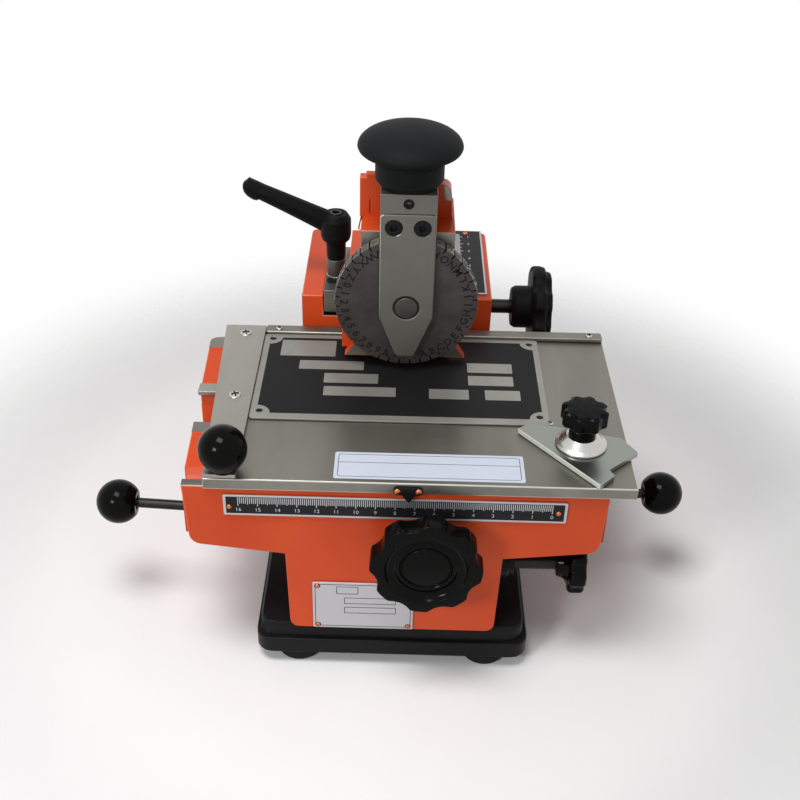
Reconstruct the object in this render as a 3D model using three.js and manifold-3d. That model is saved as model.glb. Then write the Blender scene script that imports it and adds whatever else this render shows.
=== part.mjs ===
import * as THREE from 'three';
import { mergeVertices } from 'three/addons/utils/BufferGeometryUtils.js';
import Module from 'manifold-3d';

const wasm = await Module();
wasm.setup();

// Nameplate marking machine. All lengths are millimetres, +Z is up, +X is the operator's right and
// +Y points away from the operator. While the pieces are built, X = 0 is the middle of the bed,
// Y = 0 is the front edge of the table and Z = 0 is the ground under the rubber feet.

// Clearances
const seatGap = 0.3;
const runningGap = 0.3;
const overrun = 3;

// Rubber feet and black base casting
const footRadius = 11.5;
const footTopRadius = 10.3;
const footHeight = 8.5;
const footInsetX = 23.5;
const footInsetY = 15;
const baseWidth = 152;
const baseFrontY = 3;
const baseHeight = 20.7;
const baseCorner = 9;
const baseStepHeight = 10.5;
const baseStepInset = 2.4;
const baseWall = 7;
const baseRoof = 8;

// Body casting: bed, front apron and pedestal
const bodyHeight = 97.6;
const bedFrontY = 2.5;
const bedRearProud = 0.2;
const bedFrontHalf = 108.8;
const bedRearHalf = 114.6;
const bedRearCorner = 5;
const bedSlabDrop = 33;
const apronWall = 5.5;
const apronEndDrop = 38.4;
const apronRootDrop = 44.3;
const apronTaper = 2;
const apronCorner = 6.5;
const pedestalHalf = 57.3;
const pedestalTaper = 1.4;
const pedestalCorner = 5;
const castWall = 8;
const paintedDrop = 0.8;
const recessWidth = 10.7;
const recessDepth = 8.5;
const frontWayWidth = 9.4;
const channelFrontY = 58;
const channelWidth = 29.3;
const channelDepth = 26;
const railWidth = 8.6;
const railHeight = 4;
const railProud = 1.5;
const lipReach = 2.8;
const ledgeDrop = 10;
const ledgeReach = 1.4;
const backRailWidth = 12.4;

// Front plates on the body
const plateThickness = 0.8;
const rulerWidth = 175.2;
const rulerHeight = 13.2;
const rulerDrop = 4.3;
const dataPlateWidth = 54.6;
const dataPlateHeight = 33.5;
const dataPlateX = -16;
const dataPlateFoot = 1.2;

// Table
const tableWidth = 226;
const tableDepth = 146.8;
const tableThickness = 6.6;
const tableX = 8.4;
const tableChamfer = 0.8;
const stripWidth = 24.5;
const stripThickness = 2;
const fenceDepth = 7.8;
const fenceThickness = 2.4;
const pointerWidth = 6.8;
const pointerThickness = 1;
const pointerRise = 3.2;
const pointerTipDrop = 11;
const pointerX = 6.7;
const pointerEarWidth = 13.5;
const pointerEarHeight = 4.4;
const guideHeight = 11;
const guideLength = 210;
const rackWidth = 13;
const rackOverlap = 8;
const tableTravelLeft = 86.7;
const tableTravelRight = 73.3;
const ballRadius = 12.5;
const tableBallInset = 17.9;
const tableBallY = 7;
const tableBallRise = 15.4;
const tableStudRadius = 3.5;

// Sample nameplate lying against the stops
const sampleThickness = 0.8;
const sampleInset = 39.4;
const sampleCorner = 2;
const sampleHoleRadius = 1.9;
const sampleHoleInset = 5;
const sampleHoleFront = 7.4;

// Corner clamp on the table
const clampInset = 25.6;
const clampY = 33;
const clampThickness = 3;
const clampTipReach = 32;
const clampTipRise = 12.5;
const clampFootReach = 34.5;
const clampFootShift = 6;
const clampEndReach = 29;
const clampEndDrop = 6;
const clampNotchReach = 12.1;
const clampNotchDrop = 21.2;
const clampLobeReach = 2.2;
const clampLobeDrop = 4.6;
const clampWasherRadius = 13.4;
const clampWasherHeight = 4.4;
const clampStudRadius = 3;
const clampNeckRadius = 7.4;
const clampNeckHeight = 6.5;
const clampKnobRadius = 12.3;
const clampKnobLobes = 8;
const clampFluteRadius = 5;
const clampFluteDepth = 1.2;
const clampKnobHeight = 9.5;
const clampKnobCrown = 2.5;

// Handwheel with its shaft, pinion and bushes
const handwheelX = 16.6;
const handwheelDrop = 33.6;
const handwheelRadius = 29;
const handwheelThickness = 11;
const handwheelRecess = 3.2;
const handwheelRecessInner = 13.8;
const handwheelRecessOuter = 21.5;
const handwheelHubRadius = 12.5;
const handwheelHubLength = 9;
const handwheelLobes = 8;
const handwheelFluteRadius = 11.5;
const handwheelFluteDepth = 2.8;
const handwheelPhase = THREE.MathUtils.degToRad(16.5);
const shaftRadius = 5;
const bushWall = 2.5;
const bushFlange = 2;
const bushFlangeHeight = 1.6;
const bearingHang = 14;
const bearingWall = 6;
const gearModule = 1.5;
const feedTeeth = 16;
const backlash = 0.35;
const pressureAngle = THREE.MathUtils.degToRad(20);

// Spacing knob under the right wing
const spacingY = 22;
const spacingZ = 64.5;
const spacingKnobX = 89;
const spacingKnobRadius = 16.5;
const spacingKnobThickness = 9;
const spacingHubLength = 6;
const spacingHubRadius = 8;
const spacingShaftRadius = 4;
const spacingBossRadius = 9;
const spacingBossLength = 8;
const spacingLobes = 7;
const spacingFluteRadius = 6;
const spacingFluteDepth = 2.2;

// Two feed levers with ball ends
const leverRodRadius = 2.8;
const leverBallX = 156;
const leverPivotOffset = 10;
const leverHubRadius = 7;
const leverHubLength = 12;
const leverForkWall = 4;
const leverForkBase = 5;
const leverPinRadius = 2.5;
const leverPinHead = 4;
const leverTilt = THREE.MathUtils.degToRad(3);
const leftLeverY = 51;
const leftLeverZ = 71;
const rightLeverY = 81;
const rightLeverZ = 63;

// Arm casting behind the table
const armGap = 8;
const armDepth = 92;
const armLeft = 59.4;
const armRight = 55.1;
const armCheekRise = 19;
const armFloorRise = 5;
const armLeftCheek = 13;
const armRightCheek = 25;
const armHeadDepth = 40;
const armCorner = 4;
const columnHalf = 52;
const columnRearInset = 15;
const columnWall = 8;
const columnRoof = 10;
const scaleWidth = 19.3;
const scaleLength = 85;
const scaleInset = 5.2;

// Head knob with its shaft and pinion
const headShaftBack = 33;
const headShaftDrop = 4;
const headShaftRadius = 4.4;
const headKnobX = 70;
const headKnobRadius = 26.5;
const headKnobThickness = 12;
const headHubRadius = 13.5;
const headHubLength = 12;
const headKnobLobes = 7;
const headFluteRadius = 10;
const headFluteDepth = 3;
const headKnobPhase = Math.PI / 2 / headKnobLobes;
const headModule = 1;
const headTeeth = 16;
const headRackWidth = 10;
const headRackHeight = 6;
const headTravelFront = 50;
const headTravelRear = 20;

// Head carriage casting; a lead is how far a face stands ahead of the arm's front, a back how far behind
const headX = 3.2;
const carriageHalf = 25.6;
const carriageLead = 42.6;
const platformRise = 83.5;
const towerLead = 25;
const towerLeft = 26.8;
const towerRight = 23;
const towerDraft = 1.4;
const towerHeight = 25.3;
const towerRibWidth = 3.4;
const towerRibDrop = 2.4;
const lugHeight = 20.3;
const lugCorner = 6.6;
const towerRidge = 4;
const towerKnee = 12;
const towerBack = 13;
const slideLeft = 33.2;
const slideBack = 93;
const slideHeight = 12;
const shoulderRun = 20;
const shoulderRise = 26;
const overhangRise = 6;
const noseRise = 4;
const noseHeight = 10;
const noseDepth = 6;
const noseTopHalf = 28;
const noseFootHalf = 34.8;

// Clamp shoe and clamping lever beside the slide
const shoeDepth = 33;
const shoeRise = 22.5;
const shoeLip = 5;
const shoeRelief = 2.4;
const shoeReliefDepth = 14;
const leverX = -39.7;
const leverBack = 21;
const postRadius = 5.6;
const postHeight = 11.5;
const handleNeckRadius = 5.6;
const handleNeckHeight = 10.5;
const handleHubRadius = 9.2;
const handleHubHeight = 19;
const handleReach = 54;
const handleRise = 26;
const handleRootRadius = 6;
const handleTipRadius = 4.4;
const handleTipShare = 1.45;
const handleStudRadius = 3;

// Ram: block, front plate, axle, screws, palm button and spring
const ramHalf = 14.9;
const ramLead = 56.5;
const ramDepth = 29.5;
const ramTopRise = 111.2;
const ramStroke = 2.6;
const frontPlateThickness = 5;
const frontPlateTopRise = 99.8;
const frontPlateShoulderRise = 38;
const frontPlateTipRise = 12.6;
const frontPlateTipHalf = 5;
const frontPlateBevel = 1.2;
const axleRadius = 7;
const axleHoleRadius = 7.8;
const axleProud = 0.4;
const slideBarHalf = 8;
const slideBarDepth = 10.5;
const slideBarBelowAxle = 11;
const springRoom = 18;
const springRadius = 3.6;
const springWire = 0.6;
const springTurns = 6;
const screwHeadRadius = 4.3;
const screwHeadHeight = 1.6;
const screwShankRadius = 2.5;
const screwSocketRadius = 2;
const screwSpread = 7.6;
const screwRise = 91.9;
const buttonLead = 41.7;
const buttonFootRadius = 15;
const buttonNeckRadius = 18.2;
const buttonNeckFoot = 5;
const buttonNeckHeight = 13;
const buttonRimRadius = 27.5;
const buttonRimHeight = 20.5;
const buttonHeight = 31;

// Type wheel
const wheelRadius = 40;
const wheelRise = 4;
const wheelLead = 51;
const wheelThickness = 7.9;
const wheelFaceRadius = 36.4;
const slugCount = 40;
const slugInset = 0.3;
const slugGap = 1;
const wheelBoreRadius = 7.4;
const wheelHubRadius = 13;
const wheelDish = 1.2;
const wheelDishOuter = 24;

// Levels and places that follow from the sizes above
const baseTop = footHeight + baseHeight;
const bodyFoot = baseTop + seatGap;
const wayTop = bodyFoot + bodyHeight;
const tableBottom = wayTop + runningGap;
const tableTop = tableBottom + tableThickness;
const slabBottom = wayTop - bedSlabDrop;
const channelRearY = channelFrontY + channelWidth;
const channelMiddleY = (channelFrontY + channelRearY) / 2;
const channelFloor = wayTop - channelDepth;
const feedRadius = gearModule * feedTeeth / 2;
const handwheelZ = wayTop - handwheelDrop;
const bedRearY = tableDepth + bedRearProud;
const armFrontY = bedRearY + armGap;
const armRearY = armFrontY + armDepth;
const baseDepth = armRearY - baseFrontY;
const rackPitchZ = handwheelZ + feedRadius;
const armTop = tableTop + armCheekRise;
const armFloor = tableTop + armFloorRise;
const armInnerLeft = armLeftCheek - armLeft;
const armInnerRight = armRight - armRightCheek;
const headRadius = headModule * headTeeth / 2;
const headShaftZ = tableTop - headShaftDrop;
const headPitchZ = headShaftZ + headRadius;
const headShaftY = armFrontY + headShaftBack;
const leverY = armFrontY + leverBack;
const slideBottom = armFloor + runningGap;
const slideRearY = armFrontY + slideBack;
const carriageFrontY = armFrontY - carriageLead;
const towerY = armFrontY - towerLead;
const towerRearY = armFrontY + towerBack;
const platformZ = tableTop + platformRise;
const wheelZ = tableTop + wheelRise + wheelRadius;
const ramTop = tableTop + ramTopRise;
const ramBottom = platformZ + ramStroke + runningGap;
const ramFrontY = armFrontY - ramLead;
const buttonY = armFrontY - buttonLead;
const wheelFrontY = armFrontY - wheelLead;
const frontPlateRearY = ramFrontY + frontPlateThickness;
const slideBarFrontY = carriageFrontY + runningGap;
const slideBarRearY = slideBarFrontY + slideBarDepth;
const slideBarFoot = wheelZ - slideBarBelowAxle;
const slotFoot = slideBarFoot - springRoom;
const tableLeft = tableX - tableWidth / 2;
const tableRight = tableX + tableWidth / 2;
const tableBallX = tableLeft + tableBallInset;
const clampX = tableRight - clampInset;
const clampTop = tableTop + seatGap + clampThickness;
const clampRearY = clampY + clampTipRise + clampEndDrop;

// Round things get this many sides
const fineSides = 32;
const sides = 26;
const smallSides = 16;
const fluteSteps = 4;
const lobeSteps = 3;
const wireSides = 5;
const coilSteps = 10;

const finish = (colour, roughness, metalness) =>
  new THREE.MeshStandardMaterial({ color: colour, roughness, metalness });
const orangePaint = () => finish(0xd8481f, 0.45, 0);
const blackCasting = () => finish(0x1c1c1f, 0.5, 0.1);
const blackPlastic = () => finish(0x141413, 0.3, 0);
const rubber = () => finish(0x1a1a1a, 0.9, 0);
const groundSteel = () => finish(0x8c8c82, 0.45, 0.9);
const brightSteel = () => finish(0xc4c4c0, 0.3, 1);
const darkSteel = () => finish(0x46433f, 0.5, 0.8);
const bronze = () => finish(0xa87a45, 0.4, 0.9);
const whiteMetal = () => finish(0xc8c8cd, 0.5, 0.4);

// A closed mesh as a solid that can be joined and cut
function solid(geometry) {
  const bare = new THREE.BufferGeometry();
  bare.setAttribute('position', geometry.getAttribute('position'));
  if (geometry.index) bare.setIndex(geometry.index);
  const merged = mergeVertices(bare);
  const index = merged.index.array;
  const kept = [];
  for (let i = 0; i < index.length; i += 3) {
    const [a, b, c] = [index[i], index[i + 1], index[i + 2]];
    if (a !== b && b !== c && c !== a) kept.push(a, b, c);
  }
  return new wasm.Manifold(new wasm.Mesh({
    numProp: 3,
    vertProperties: Float32Array.from(merged.getAttribute('position').array),
    triVerts: Uint32Array.from(kept),
  }));
}

const join = (...pieces) => pieces.reduce((whole, piece) => whole.add(piece));
const cut = (whole, ...cutters) => cutters.reduce((left, cutter) => left.subtract(cutter), whole);

function surface(body) {
  const mesh = body.getMesh();
  const geometry = new THREE.BufferGeometry();
  geometry.setAttribute('position', new THREE.BufferAttribute(Float32Array.from(mesh.vertProperties), 3));
  geometry.setIndex(new THREE.BufferAttribute(Uint32Array.from(mesh.triVerts), 1));
  return geometry;
}

const machine = new THREE.Group();

function add(name, body, material) {
  const mesh = new THREE.Mesh(surface(body), material);
  mesh.name = name;
  machine.add(mesh);
  return mesh;
}

const block = (x0, x1, y0, y1, z0, z1) => solid(
  new THREE.BoxGeometry(x1 - x0, y1 - y0, z1 - z0)
    .translate((x0 + x1) / 2, (y0 + y1) / 2, (z0 + z1) / 2),
);

function outline(points) {
  const shape = new THREE.Shape();
  shape.setFromPoints(points.map(([a, b]) => new THREE.Vector2(a, b)));
  return shape;
}

// A closed outline whose corners are rounded, each corner given as [a, b, radius]
function roundedOutline(corners, steps = 4) {
  const points = [];
  corners.forEach(([a, b, radius = 0], i) => {
    const corner = new THREE.Vector2(a, b);
    if (radius === 0) {
      points.push([a, b]);
      return;
    }
    const before = corners[(i + corners.length - 1) % corners.length];
    const after = corners[(i + 1) % corners.length];
    const back = new THREE.Vector2(before[0], before[1]).sub(corner).normalize();
    const ahead = new THREE.Vector2(after[0], after[1]).sub(corner).normalize();
    const half = Math.acos(THREE.MathUtils.clamp(back.dot(ahead), -1, 1)) / 2;
    const reach = radius / Math.tan(half);
    const centre = corner.clone().add(back.clone().add(ahead).normalize()
      .multiplyScalar(radius / Math.sin(half)));
    const start = corner.clone().add(back.multiplyScalar(reach)).sub(centre);
    const end = corner.clone().add(ahead.multiplyScalar(reach)).sub(centre);
    const sweep = Math.atan2(start.cross(end), start.dot(end));
    for (let step = 0; step <= steps; step += 1) {
      const point = start.clone().rotateAround(new THREE.Vector2(), sweep * step / steps).add(centre);
      points.push([point.x, point.y]);
    }
  });
  return outline(points);
}

const roundedBox = (a0, a1, b0, b1, radius, steps) => roundedOutline([
  [a0, b0, radius], [a1, b0, radius], [a1, b1, radius], [a0, b1, radius],
], steps);

// A flat outline given thickness along Z, along Y (outline in X, Z) or along X (outline in Y, Z)
function extrudeZ(shape, z0, z1, bevel = 0) {
  const geometry = new THREE.ExtrudeGeometry(shape, {
    depth: z1 - z0 - 2 * bevel,
    bevelEnabled: bevel > 0,
    bevelSize: bevel,
    bevelOffset: -bevel,
    bevelThickness: bevel,
    bevelSegments: 1,
    curveSegments: 12,
  });
  return solid(geometry.translate(0, 0, z0 + bevel));
}
const standUp = new THREE.Matrix4().makeBasis(
  new THREE.Vector3(1, 0, 0), new THREE.Vector3(0, 0, 1), new THREE.Vector3(0, -1, 0),
);
const turnSide = new THREE.Matrix4().makeBasis(
  new THREE.Vector3(0, 1, 0), new THREE.Vector3(0, 0, 1), new THREE.Vector3(1, 0, 0),
);
const moved = (body, matrix) => body.transform(matrix.elements);
const extrudeY = (shape, y0, y1, bevel) => moved(extrudeZ(shape, -y1, -y0, bevel), standUp);
const extrudeX = (shape, x0, x1, bevel) => moved(extrudeZ(shape, x0, x1, bevel), turnSide);

const rodZ = (radius, x, y, z0, z1, count = sides) => solid(
  new THREE.CylinderGeometry(radius, radius, z1 - z0, count).rotateX(Math.PI / 2)
    .translate(x, y, (z0 + z1) / 2),
);
const rodY = (radius, x, z, y0, y1, count = sides) => solid(
  new THREE.CylinderGeometry(radius, radius, y1 - y0, count).translate(x, (y0 + y1) / 2, z),
);
const rodX = (radius, y, z, x0, x1, count = sides) => solid(
  new THREE.CylinderGeometry(radius, radius, x1 - x0, count).rotateZ(-Math.PI / 2)
    .translate((x0 + x1) / 2, y, z),
);

// A turned piece: the profile is [radius, height] from the foot of the axis round to its top
function turned(profile, count = sides) {
  const points = profile.map(([radius, height]) => new THREE.Vector2(radius, height));
  return new THREE.LatheGeometry(points, count);
}
const turnedZ = (profile, x, y, count) =>
  solid(turned(profile, count).rotateX(Math.PI / 2).translate(x, y, 0));
const turnedY = (profile, x, z, count) => solid(turned(profile, count).translate(x, 0, z));
const turnedX = (profile, y, z, count) =>
  solid(turned(profile, count).rotateZ(-Math.PI / 2).translate(0, y, z));

const tubeProfile = (inner, outer, from, to) => [
  [inner, from], [outer, from], [outer, to], [inner, to], [inner, from],
];

// A round outline with a concave flute between every two lobes, as on moulded hand knobs
function flutedShape(radius, lobes, fluteRadius, fluteDepth, phase = 0) {
  const reach = radius - fluteDepth + fluteRadius;
  const edge = Math.acos((radius ** 2 + reach ** 2 - fluteRadius ** 2) / (2 * radius * reach));
  const pitch = 2 * Math.PI / lobes;
  const points = [];
  const place = (turn, distance) => points.push([distance * Math.cos(turn), distance * Math.sin(turn)]);
  for (let lobe = 0; lobe < lobes; lobe += 1) {
    const middle = phase + lobe * pitch;
    for (let step = 0; step <= fluteSteps; step += 1) {
      const turn = edge * (2 * step / fluteSteps - 1);
      const across = reach * Math.sin(turn);
      place(middle + turn, reach * Math.cos(turn) - Math.sqrt(fluteRadius ** 2 - across ** 2));
    }
    for (let step = 1; step < lobeSteps; step += 1) {
      place(middle + edge + (pitch - 2 * edge) * step / lobeSteps, radius);
    }
  }
  return points;
}
const shifted = (points, a, b) => outline(points.map(([p, q]) => [p + a, q + b]));

// Depth of a tooth below the pitch line, as a share of the module
const dedendumShare = 1.25;

// Involute spur gear outline with straight chords along each flank
function gearPoints(module, teeth, phase) {
  const pitch = module * teeth / 2;
  const root = pitch - dedendumShare * module;
  const tip = pitch + module;
  const base = pitch * Math.cos(pressureAngle);
  const roll = (radius) => {
    const alpha = Math.acos(Math.min(1, base / radius));
    return Math.tan(alpha) - alpha;
  };
  const halfAtPitch = Math.PI / (2 * teeth) - backlash / (2 * pitch);
  const flank = [root, pitch, tip];
  const points = [];
  for (let tooth = 0; tooth < teeth; tooth += 1) {
    const middle = phase + 2 * Math.PI * tooth / teeth;
    const half = flank.map((radius) => halfAtPitch + roll(pitch) - roll(Math.max(base, radius)));
    flank.forEach((radius, i) => {
      points.push([radius * Math.cos(middle - half[i]), radius * Math.sin(middle - half[i])]);
    });
    [...flank].reverse().forEach((radius, i) => {
      const turn = middle + half[flank.length - 1 - i];
      points.push([radius * Math.cos(turn), radius * Math.sin(turn)]);
    });
  }
  return points;
}

// Rack outline with its teeth pointing down; a gap between two teeth stands at gapAt
function rackShape(module, from, to, gapAt, pitchHeight, top) {
  const step = Math.PI * module;
  const root = pitchHeight + dedendumShare * module;
  const tip = pitchHeight - module;
  const lean = Math.tan(pressureAngle);
  const halfAtPitch = step / 4 - backlash / 2;
  const halfTip = halfAtPitch - module * lean;
  const halfRoot = halfAtPitch + dedendumShare * module * lean;
  const points = [[to, top], [from, top], [from, root]];
  const first = Math.ceil((from + halfRoot - gapAt) / step - 0.5);
  const last = Math.floor((to - halfRoot - gapAt) / step - 0.5);
  for (let tooth = first; tooth <= last; tooth += 1) {
    const middle = gapAt + (tooth + 0.5) * step;
    points.push([middle - halfRoot, root], [middle - halfTip, tip]);
    points.push([middle + halfTip, tip], [middle + halfRoot, root]);
  }
  points.push([to, root]);
  return outline(points);
}

// A socket head screw lying along Y with its head to the front
function socketScrew(name, x, z, headY, shankEnd) {
  const rim = headY + screwHeadHeight;
  const head = rodY(screwHeadRadius, x, z, headY, rim, smallSides);
  const shank = rodY(screwShankRadius, x, z, headY, shankEnd, smallSides);
  const socket = rodY(screwSocketRadius, x, z, headY - overrun, rim, 6);
  add(name, cut(join(head, shank), socket), darkSteel());
}

const footX = baseWidth / 2 - footInsetX;
const footRows = [baseFrontY + footInsetY, baseFrontY + baseDepth - footInsetY];

function addFeet() {
  const profile = [[0, 0], [footRadius, 0], [footTopRadius, footHeight - seatGap], [0, footHeight - seatGap]];
  [['front', footRows[0]], ['rear', footRows[1]]].forEach(([row, y]) => {
    [['left', -footX], ['right', footX]].forEach(([side, x]) => {
      add(`foot_${row}_${side}`, turnedZ(profile, x, y, sides), rubber());
    });
  });
}

// Stepped black casting, hollow from below with a round boss over each foot
function addBase() {
  const half = baseWidth / 2;
  const back = baseFrontY + baseDepth;
  const stepTop = footHeight + baseStepHeight;
  const flange = extrudeZ(roundedBox(-half, half, baseFrontY, back, baseCorner), footHeight, stepTop);
  const deck = extrudeZ(roundedBox(
    baseStepInset - half, half - baseStepInset, baseFrontY + baseStepInset, back - baseStepInset, baseCorner,
  ), footHeight, baseTop, baseStepInset / 2);
  const inside = baseWall + baseStepInset;
  let pocket = extrudeZ(roundedBox(
    inside - half, half - inside, baseFrontY + inside, back - inside, baseCorner / 2,
  ), footHeight - overrun, baseTop - baseRoof);
  footRows.forEach((y) => {
    [-footX, footX].forEach((x) => {
      pocket = pocket.subtract(rodZ(footRadius + baseStepInset, x, y, footHeight - 2 * overrun, baseTop));
    });
  });
  add('base', cut(join(flange, deck), pocket), blackCasting());
}

const pedestalFootHalf = pedestalHalf - pedestalTaper;
const bearingFrontY = channelRearY - bearingWall / 2;
const bearingRearY = bearingFrontY + bearingHang;

// Bed, apron and pedestal in one casting: the bed is an outline in Y and Z run along X and trimmed
// to its flared plan, the apron is the T-shaped front face, and the pedestal is a hollow box
function addBody() {
  const apron = extrudeY(roundedOutline([
    [-bedFrontHalf, wayTop], [bedFrontHalf, wayTop],
    [bedFrontHalf - apronTaper, wayTop - apronEndDrop, apronCorner],
    [pedestalHalf, wayTop - apronRootDrop],
    [pedestalFootHalf, bodyFoot, pedestalCorner],
    [-pedestalFootHalf, bodyFoot, pedestalCorner],
    [-pedestalHalf, wayTop - apronRootDrop],
    [apronTaper - bedFrontHalf, wayTop - apronEndDrop, apronCorner],
  ]), bedFrontY, bedFrontY + apronWall);

  const apronRearY = bedFrontY + apronWall;
  const beamFrontY = apronRearY + recessWidth;
  const painted = wayTop - paintedDrop;
  const wallY = channelRearY + lipReach;
  const railRearY = channelRearY + railWidth;
  const railFoot = wayTop - railHeight;
  const bedShape = outline([
    [bedFrontY + apronWall / 2, slabBottom],
    [bedRearY, slabBottom],
    [bedRearY, wayTop],
    [bedRearY - backRailWidth, wayTop],
    [bedRearY - backRailWidth, painted],
    [railRearY + seatGap, painted],
    [railRearY + seatGap, railFoot - seatGap],
    [wallY, railFoot - seatGap],
    [wallY, wayTop - ledgeDrop],
    [wallY - ledgeReach, wayTop - ledgeDrop],
    [wallY - ledgeReach, channelFloor],
    [channelFrontY, channelFloor],
    [channelFrontY, wayTop],
    [channelFrontY - frontWayWidth, wayTop],
    [channelFrontY - frontWayWidth, painted],
    [beamFrontY, painted],
    [beamFrontY, wayTop - recessDepth],
    [bedFrontY + apronWall / 2, wayTop - recessDepth],
  ]);
  const flare = (bedRearHalf - bedFrontHalf) / (bedRearY - bedFrontY);
  const plan = extrudeZ(roundedOutline([
    [-bedFrontHalf, bedFrontY], [bedFrontHalf, bedFrontY],
    [bedRearHalf, bedRearY, bedRearCorner], [-bedRearHalf, bedRearY, bedRearCorner],
  ]), slabBottom - overrun, wayTop + overrun);
  const bed = extrudeX(bedShape, -bedRearHalf - overrun, bedRearHalf + overrun).intersect(plan);

  const pedestal = extrudeY(roundedOutline([
    [-pedestalHalf, slabBottom + paintedDrop], [-pedestalFootHalf, bodyFoot, pedestalCorner],
    [pedestalFootHalf, bodyFoot, pedestalCorner], [pedestalHalf, slabBottom + paintedDrop],
  ]), bedFrontY, bedRearY);
  const bearing = block(
    handwheelX - shaftRadius - bearingWall - bushWall, handwheelX + shaftRadius + bearingWall + bushWall,
    bearingFrontY, bearingRearY, handwheelZ - shaftRadius - bearingWall - bushWall, slabBottom + paintedDrop,
  );
  const room = extrudeZ(roundedBox(
    castWall - pedestalFootHalf, pedestalFootHalf - castWall,
    bedFrontY + castWall, bedRearY - castWall, pedestalCorner,
  ), bodyFoot - overrun, slabBottom);

  // Pockets that lighten each wing from below, one under the front beam and one under the rear beam
  const pockets = [];
  const pocketTop = wayTop - paintedDrop - castWall;
  [[beamFrontY + castWall, channelFrontY - castWall], [railRearY, bedRearY - castWall]]
    .forEach(([y0, y1]) => {
      const halfAt = bedFrontHalf + flare * (y0 - bedFrontY) - castWall;
      const x0 = pedestalHalf + castWall / 2;
      pockets.push(block(x0, halfAt, y0, y1, slabBottom - overrun, pocketTop));
      pockets.push(block(-halfAt, -x0, y0, y1, slabBottom - overrun, pocketTop));
    });

  // Window in the channel floor where the pinion reaches the rack, and the two shaft bores
  const windowHalf = feedRadius + 2 * gearModule;
  const window = block(
    handwheelX - windowHalf, handwheelX + windowHalf,
    channelFrontY + runningGap, bearingFrontY, slabBottom - overrun, channelFloor + overrun,
  );
  const bushBore = shaftRadius + bushWall + seatGap;
  const frontBore = rodY(
    bushBore, handwheelX, handwheelZ, bedFrontY - overrun, bedFrontY + castWall + overrun,
  );
  const shaftBore = rodY(
    shaftRadius + bushWall / 2, handwheelX, handwheelZ, bedFrontY, channelFrontY + overrun, smallSides,
  );
  const rearBore = join(
    rodY(bushBore, handwheelX, handwheelZ, bearingFrontY - overrun, bearingRearY + overrun),
    rodY(bushBore + bushFlange, handwheelX, handwheelZ, bearingRearY, bearingRearY + overrun),
  );
  const spacingBore = rodX(
    spacingShaftRadius + runningGap, spacingY, spacingZ,
    pedestalHalf - castWall - overrun, pedestalHalf + overrun, smallSides,
  );
  const shell = cut(join(apron, bed, pedestal), room, ...pockets);
  const bores = [frontBore, shaftBore, rearBore, spacingBore];
  add('body_casting', cut(join(shell, bearing), window, ...bores), orangePaint());
}

// Ground steel rail let into the bed behind the channel, its lower front edge rounded
function addGuideRail() {
  const half = bedFrontHalf + (bedRearHalf - bedFrontHalf) / 2 + railProud;
  add('guide_rail', extrudeX(roundedOutline([
    [channelRearY, wayTop], [channelRearY, wayTop - railHeight, lipReach],
    [channelRearY + railWidth, wayTop - railHeight], [channelRearY + railWidth, wayTop],
  ]), -half, half), groundSteel());
}

function addFrontPlates() {
  const back = bedFrontY - seatGap;
  const rulerTop = wayTop - rulerDrop;
  add('ruler_plate', extrudeY(
    roundedBox(-rulerWidth / 2, rulerWidth / 2, rulerTop - rulerHeight, rulerTop, plateThickness),
    back - plateThickness, back,
  ), whiteMetal());
  const foot = bodyFoot + dataPlateFoot;
  add('data_plate', extrudeY(
    roundedBox(
      dataPlateX - dataPlateWidth / 2, dataPlateX + dataPlateWidth / 2,
      foot, foot + dataPlateHeight, plateThickness,
    ),
    back - plateThickness, back,
  ), whiteMetal());
}

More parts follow.
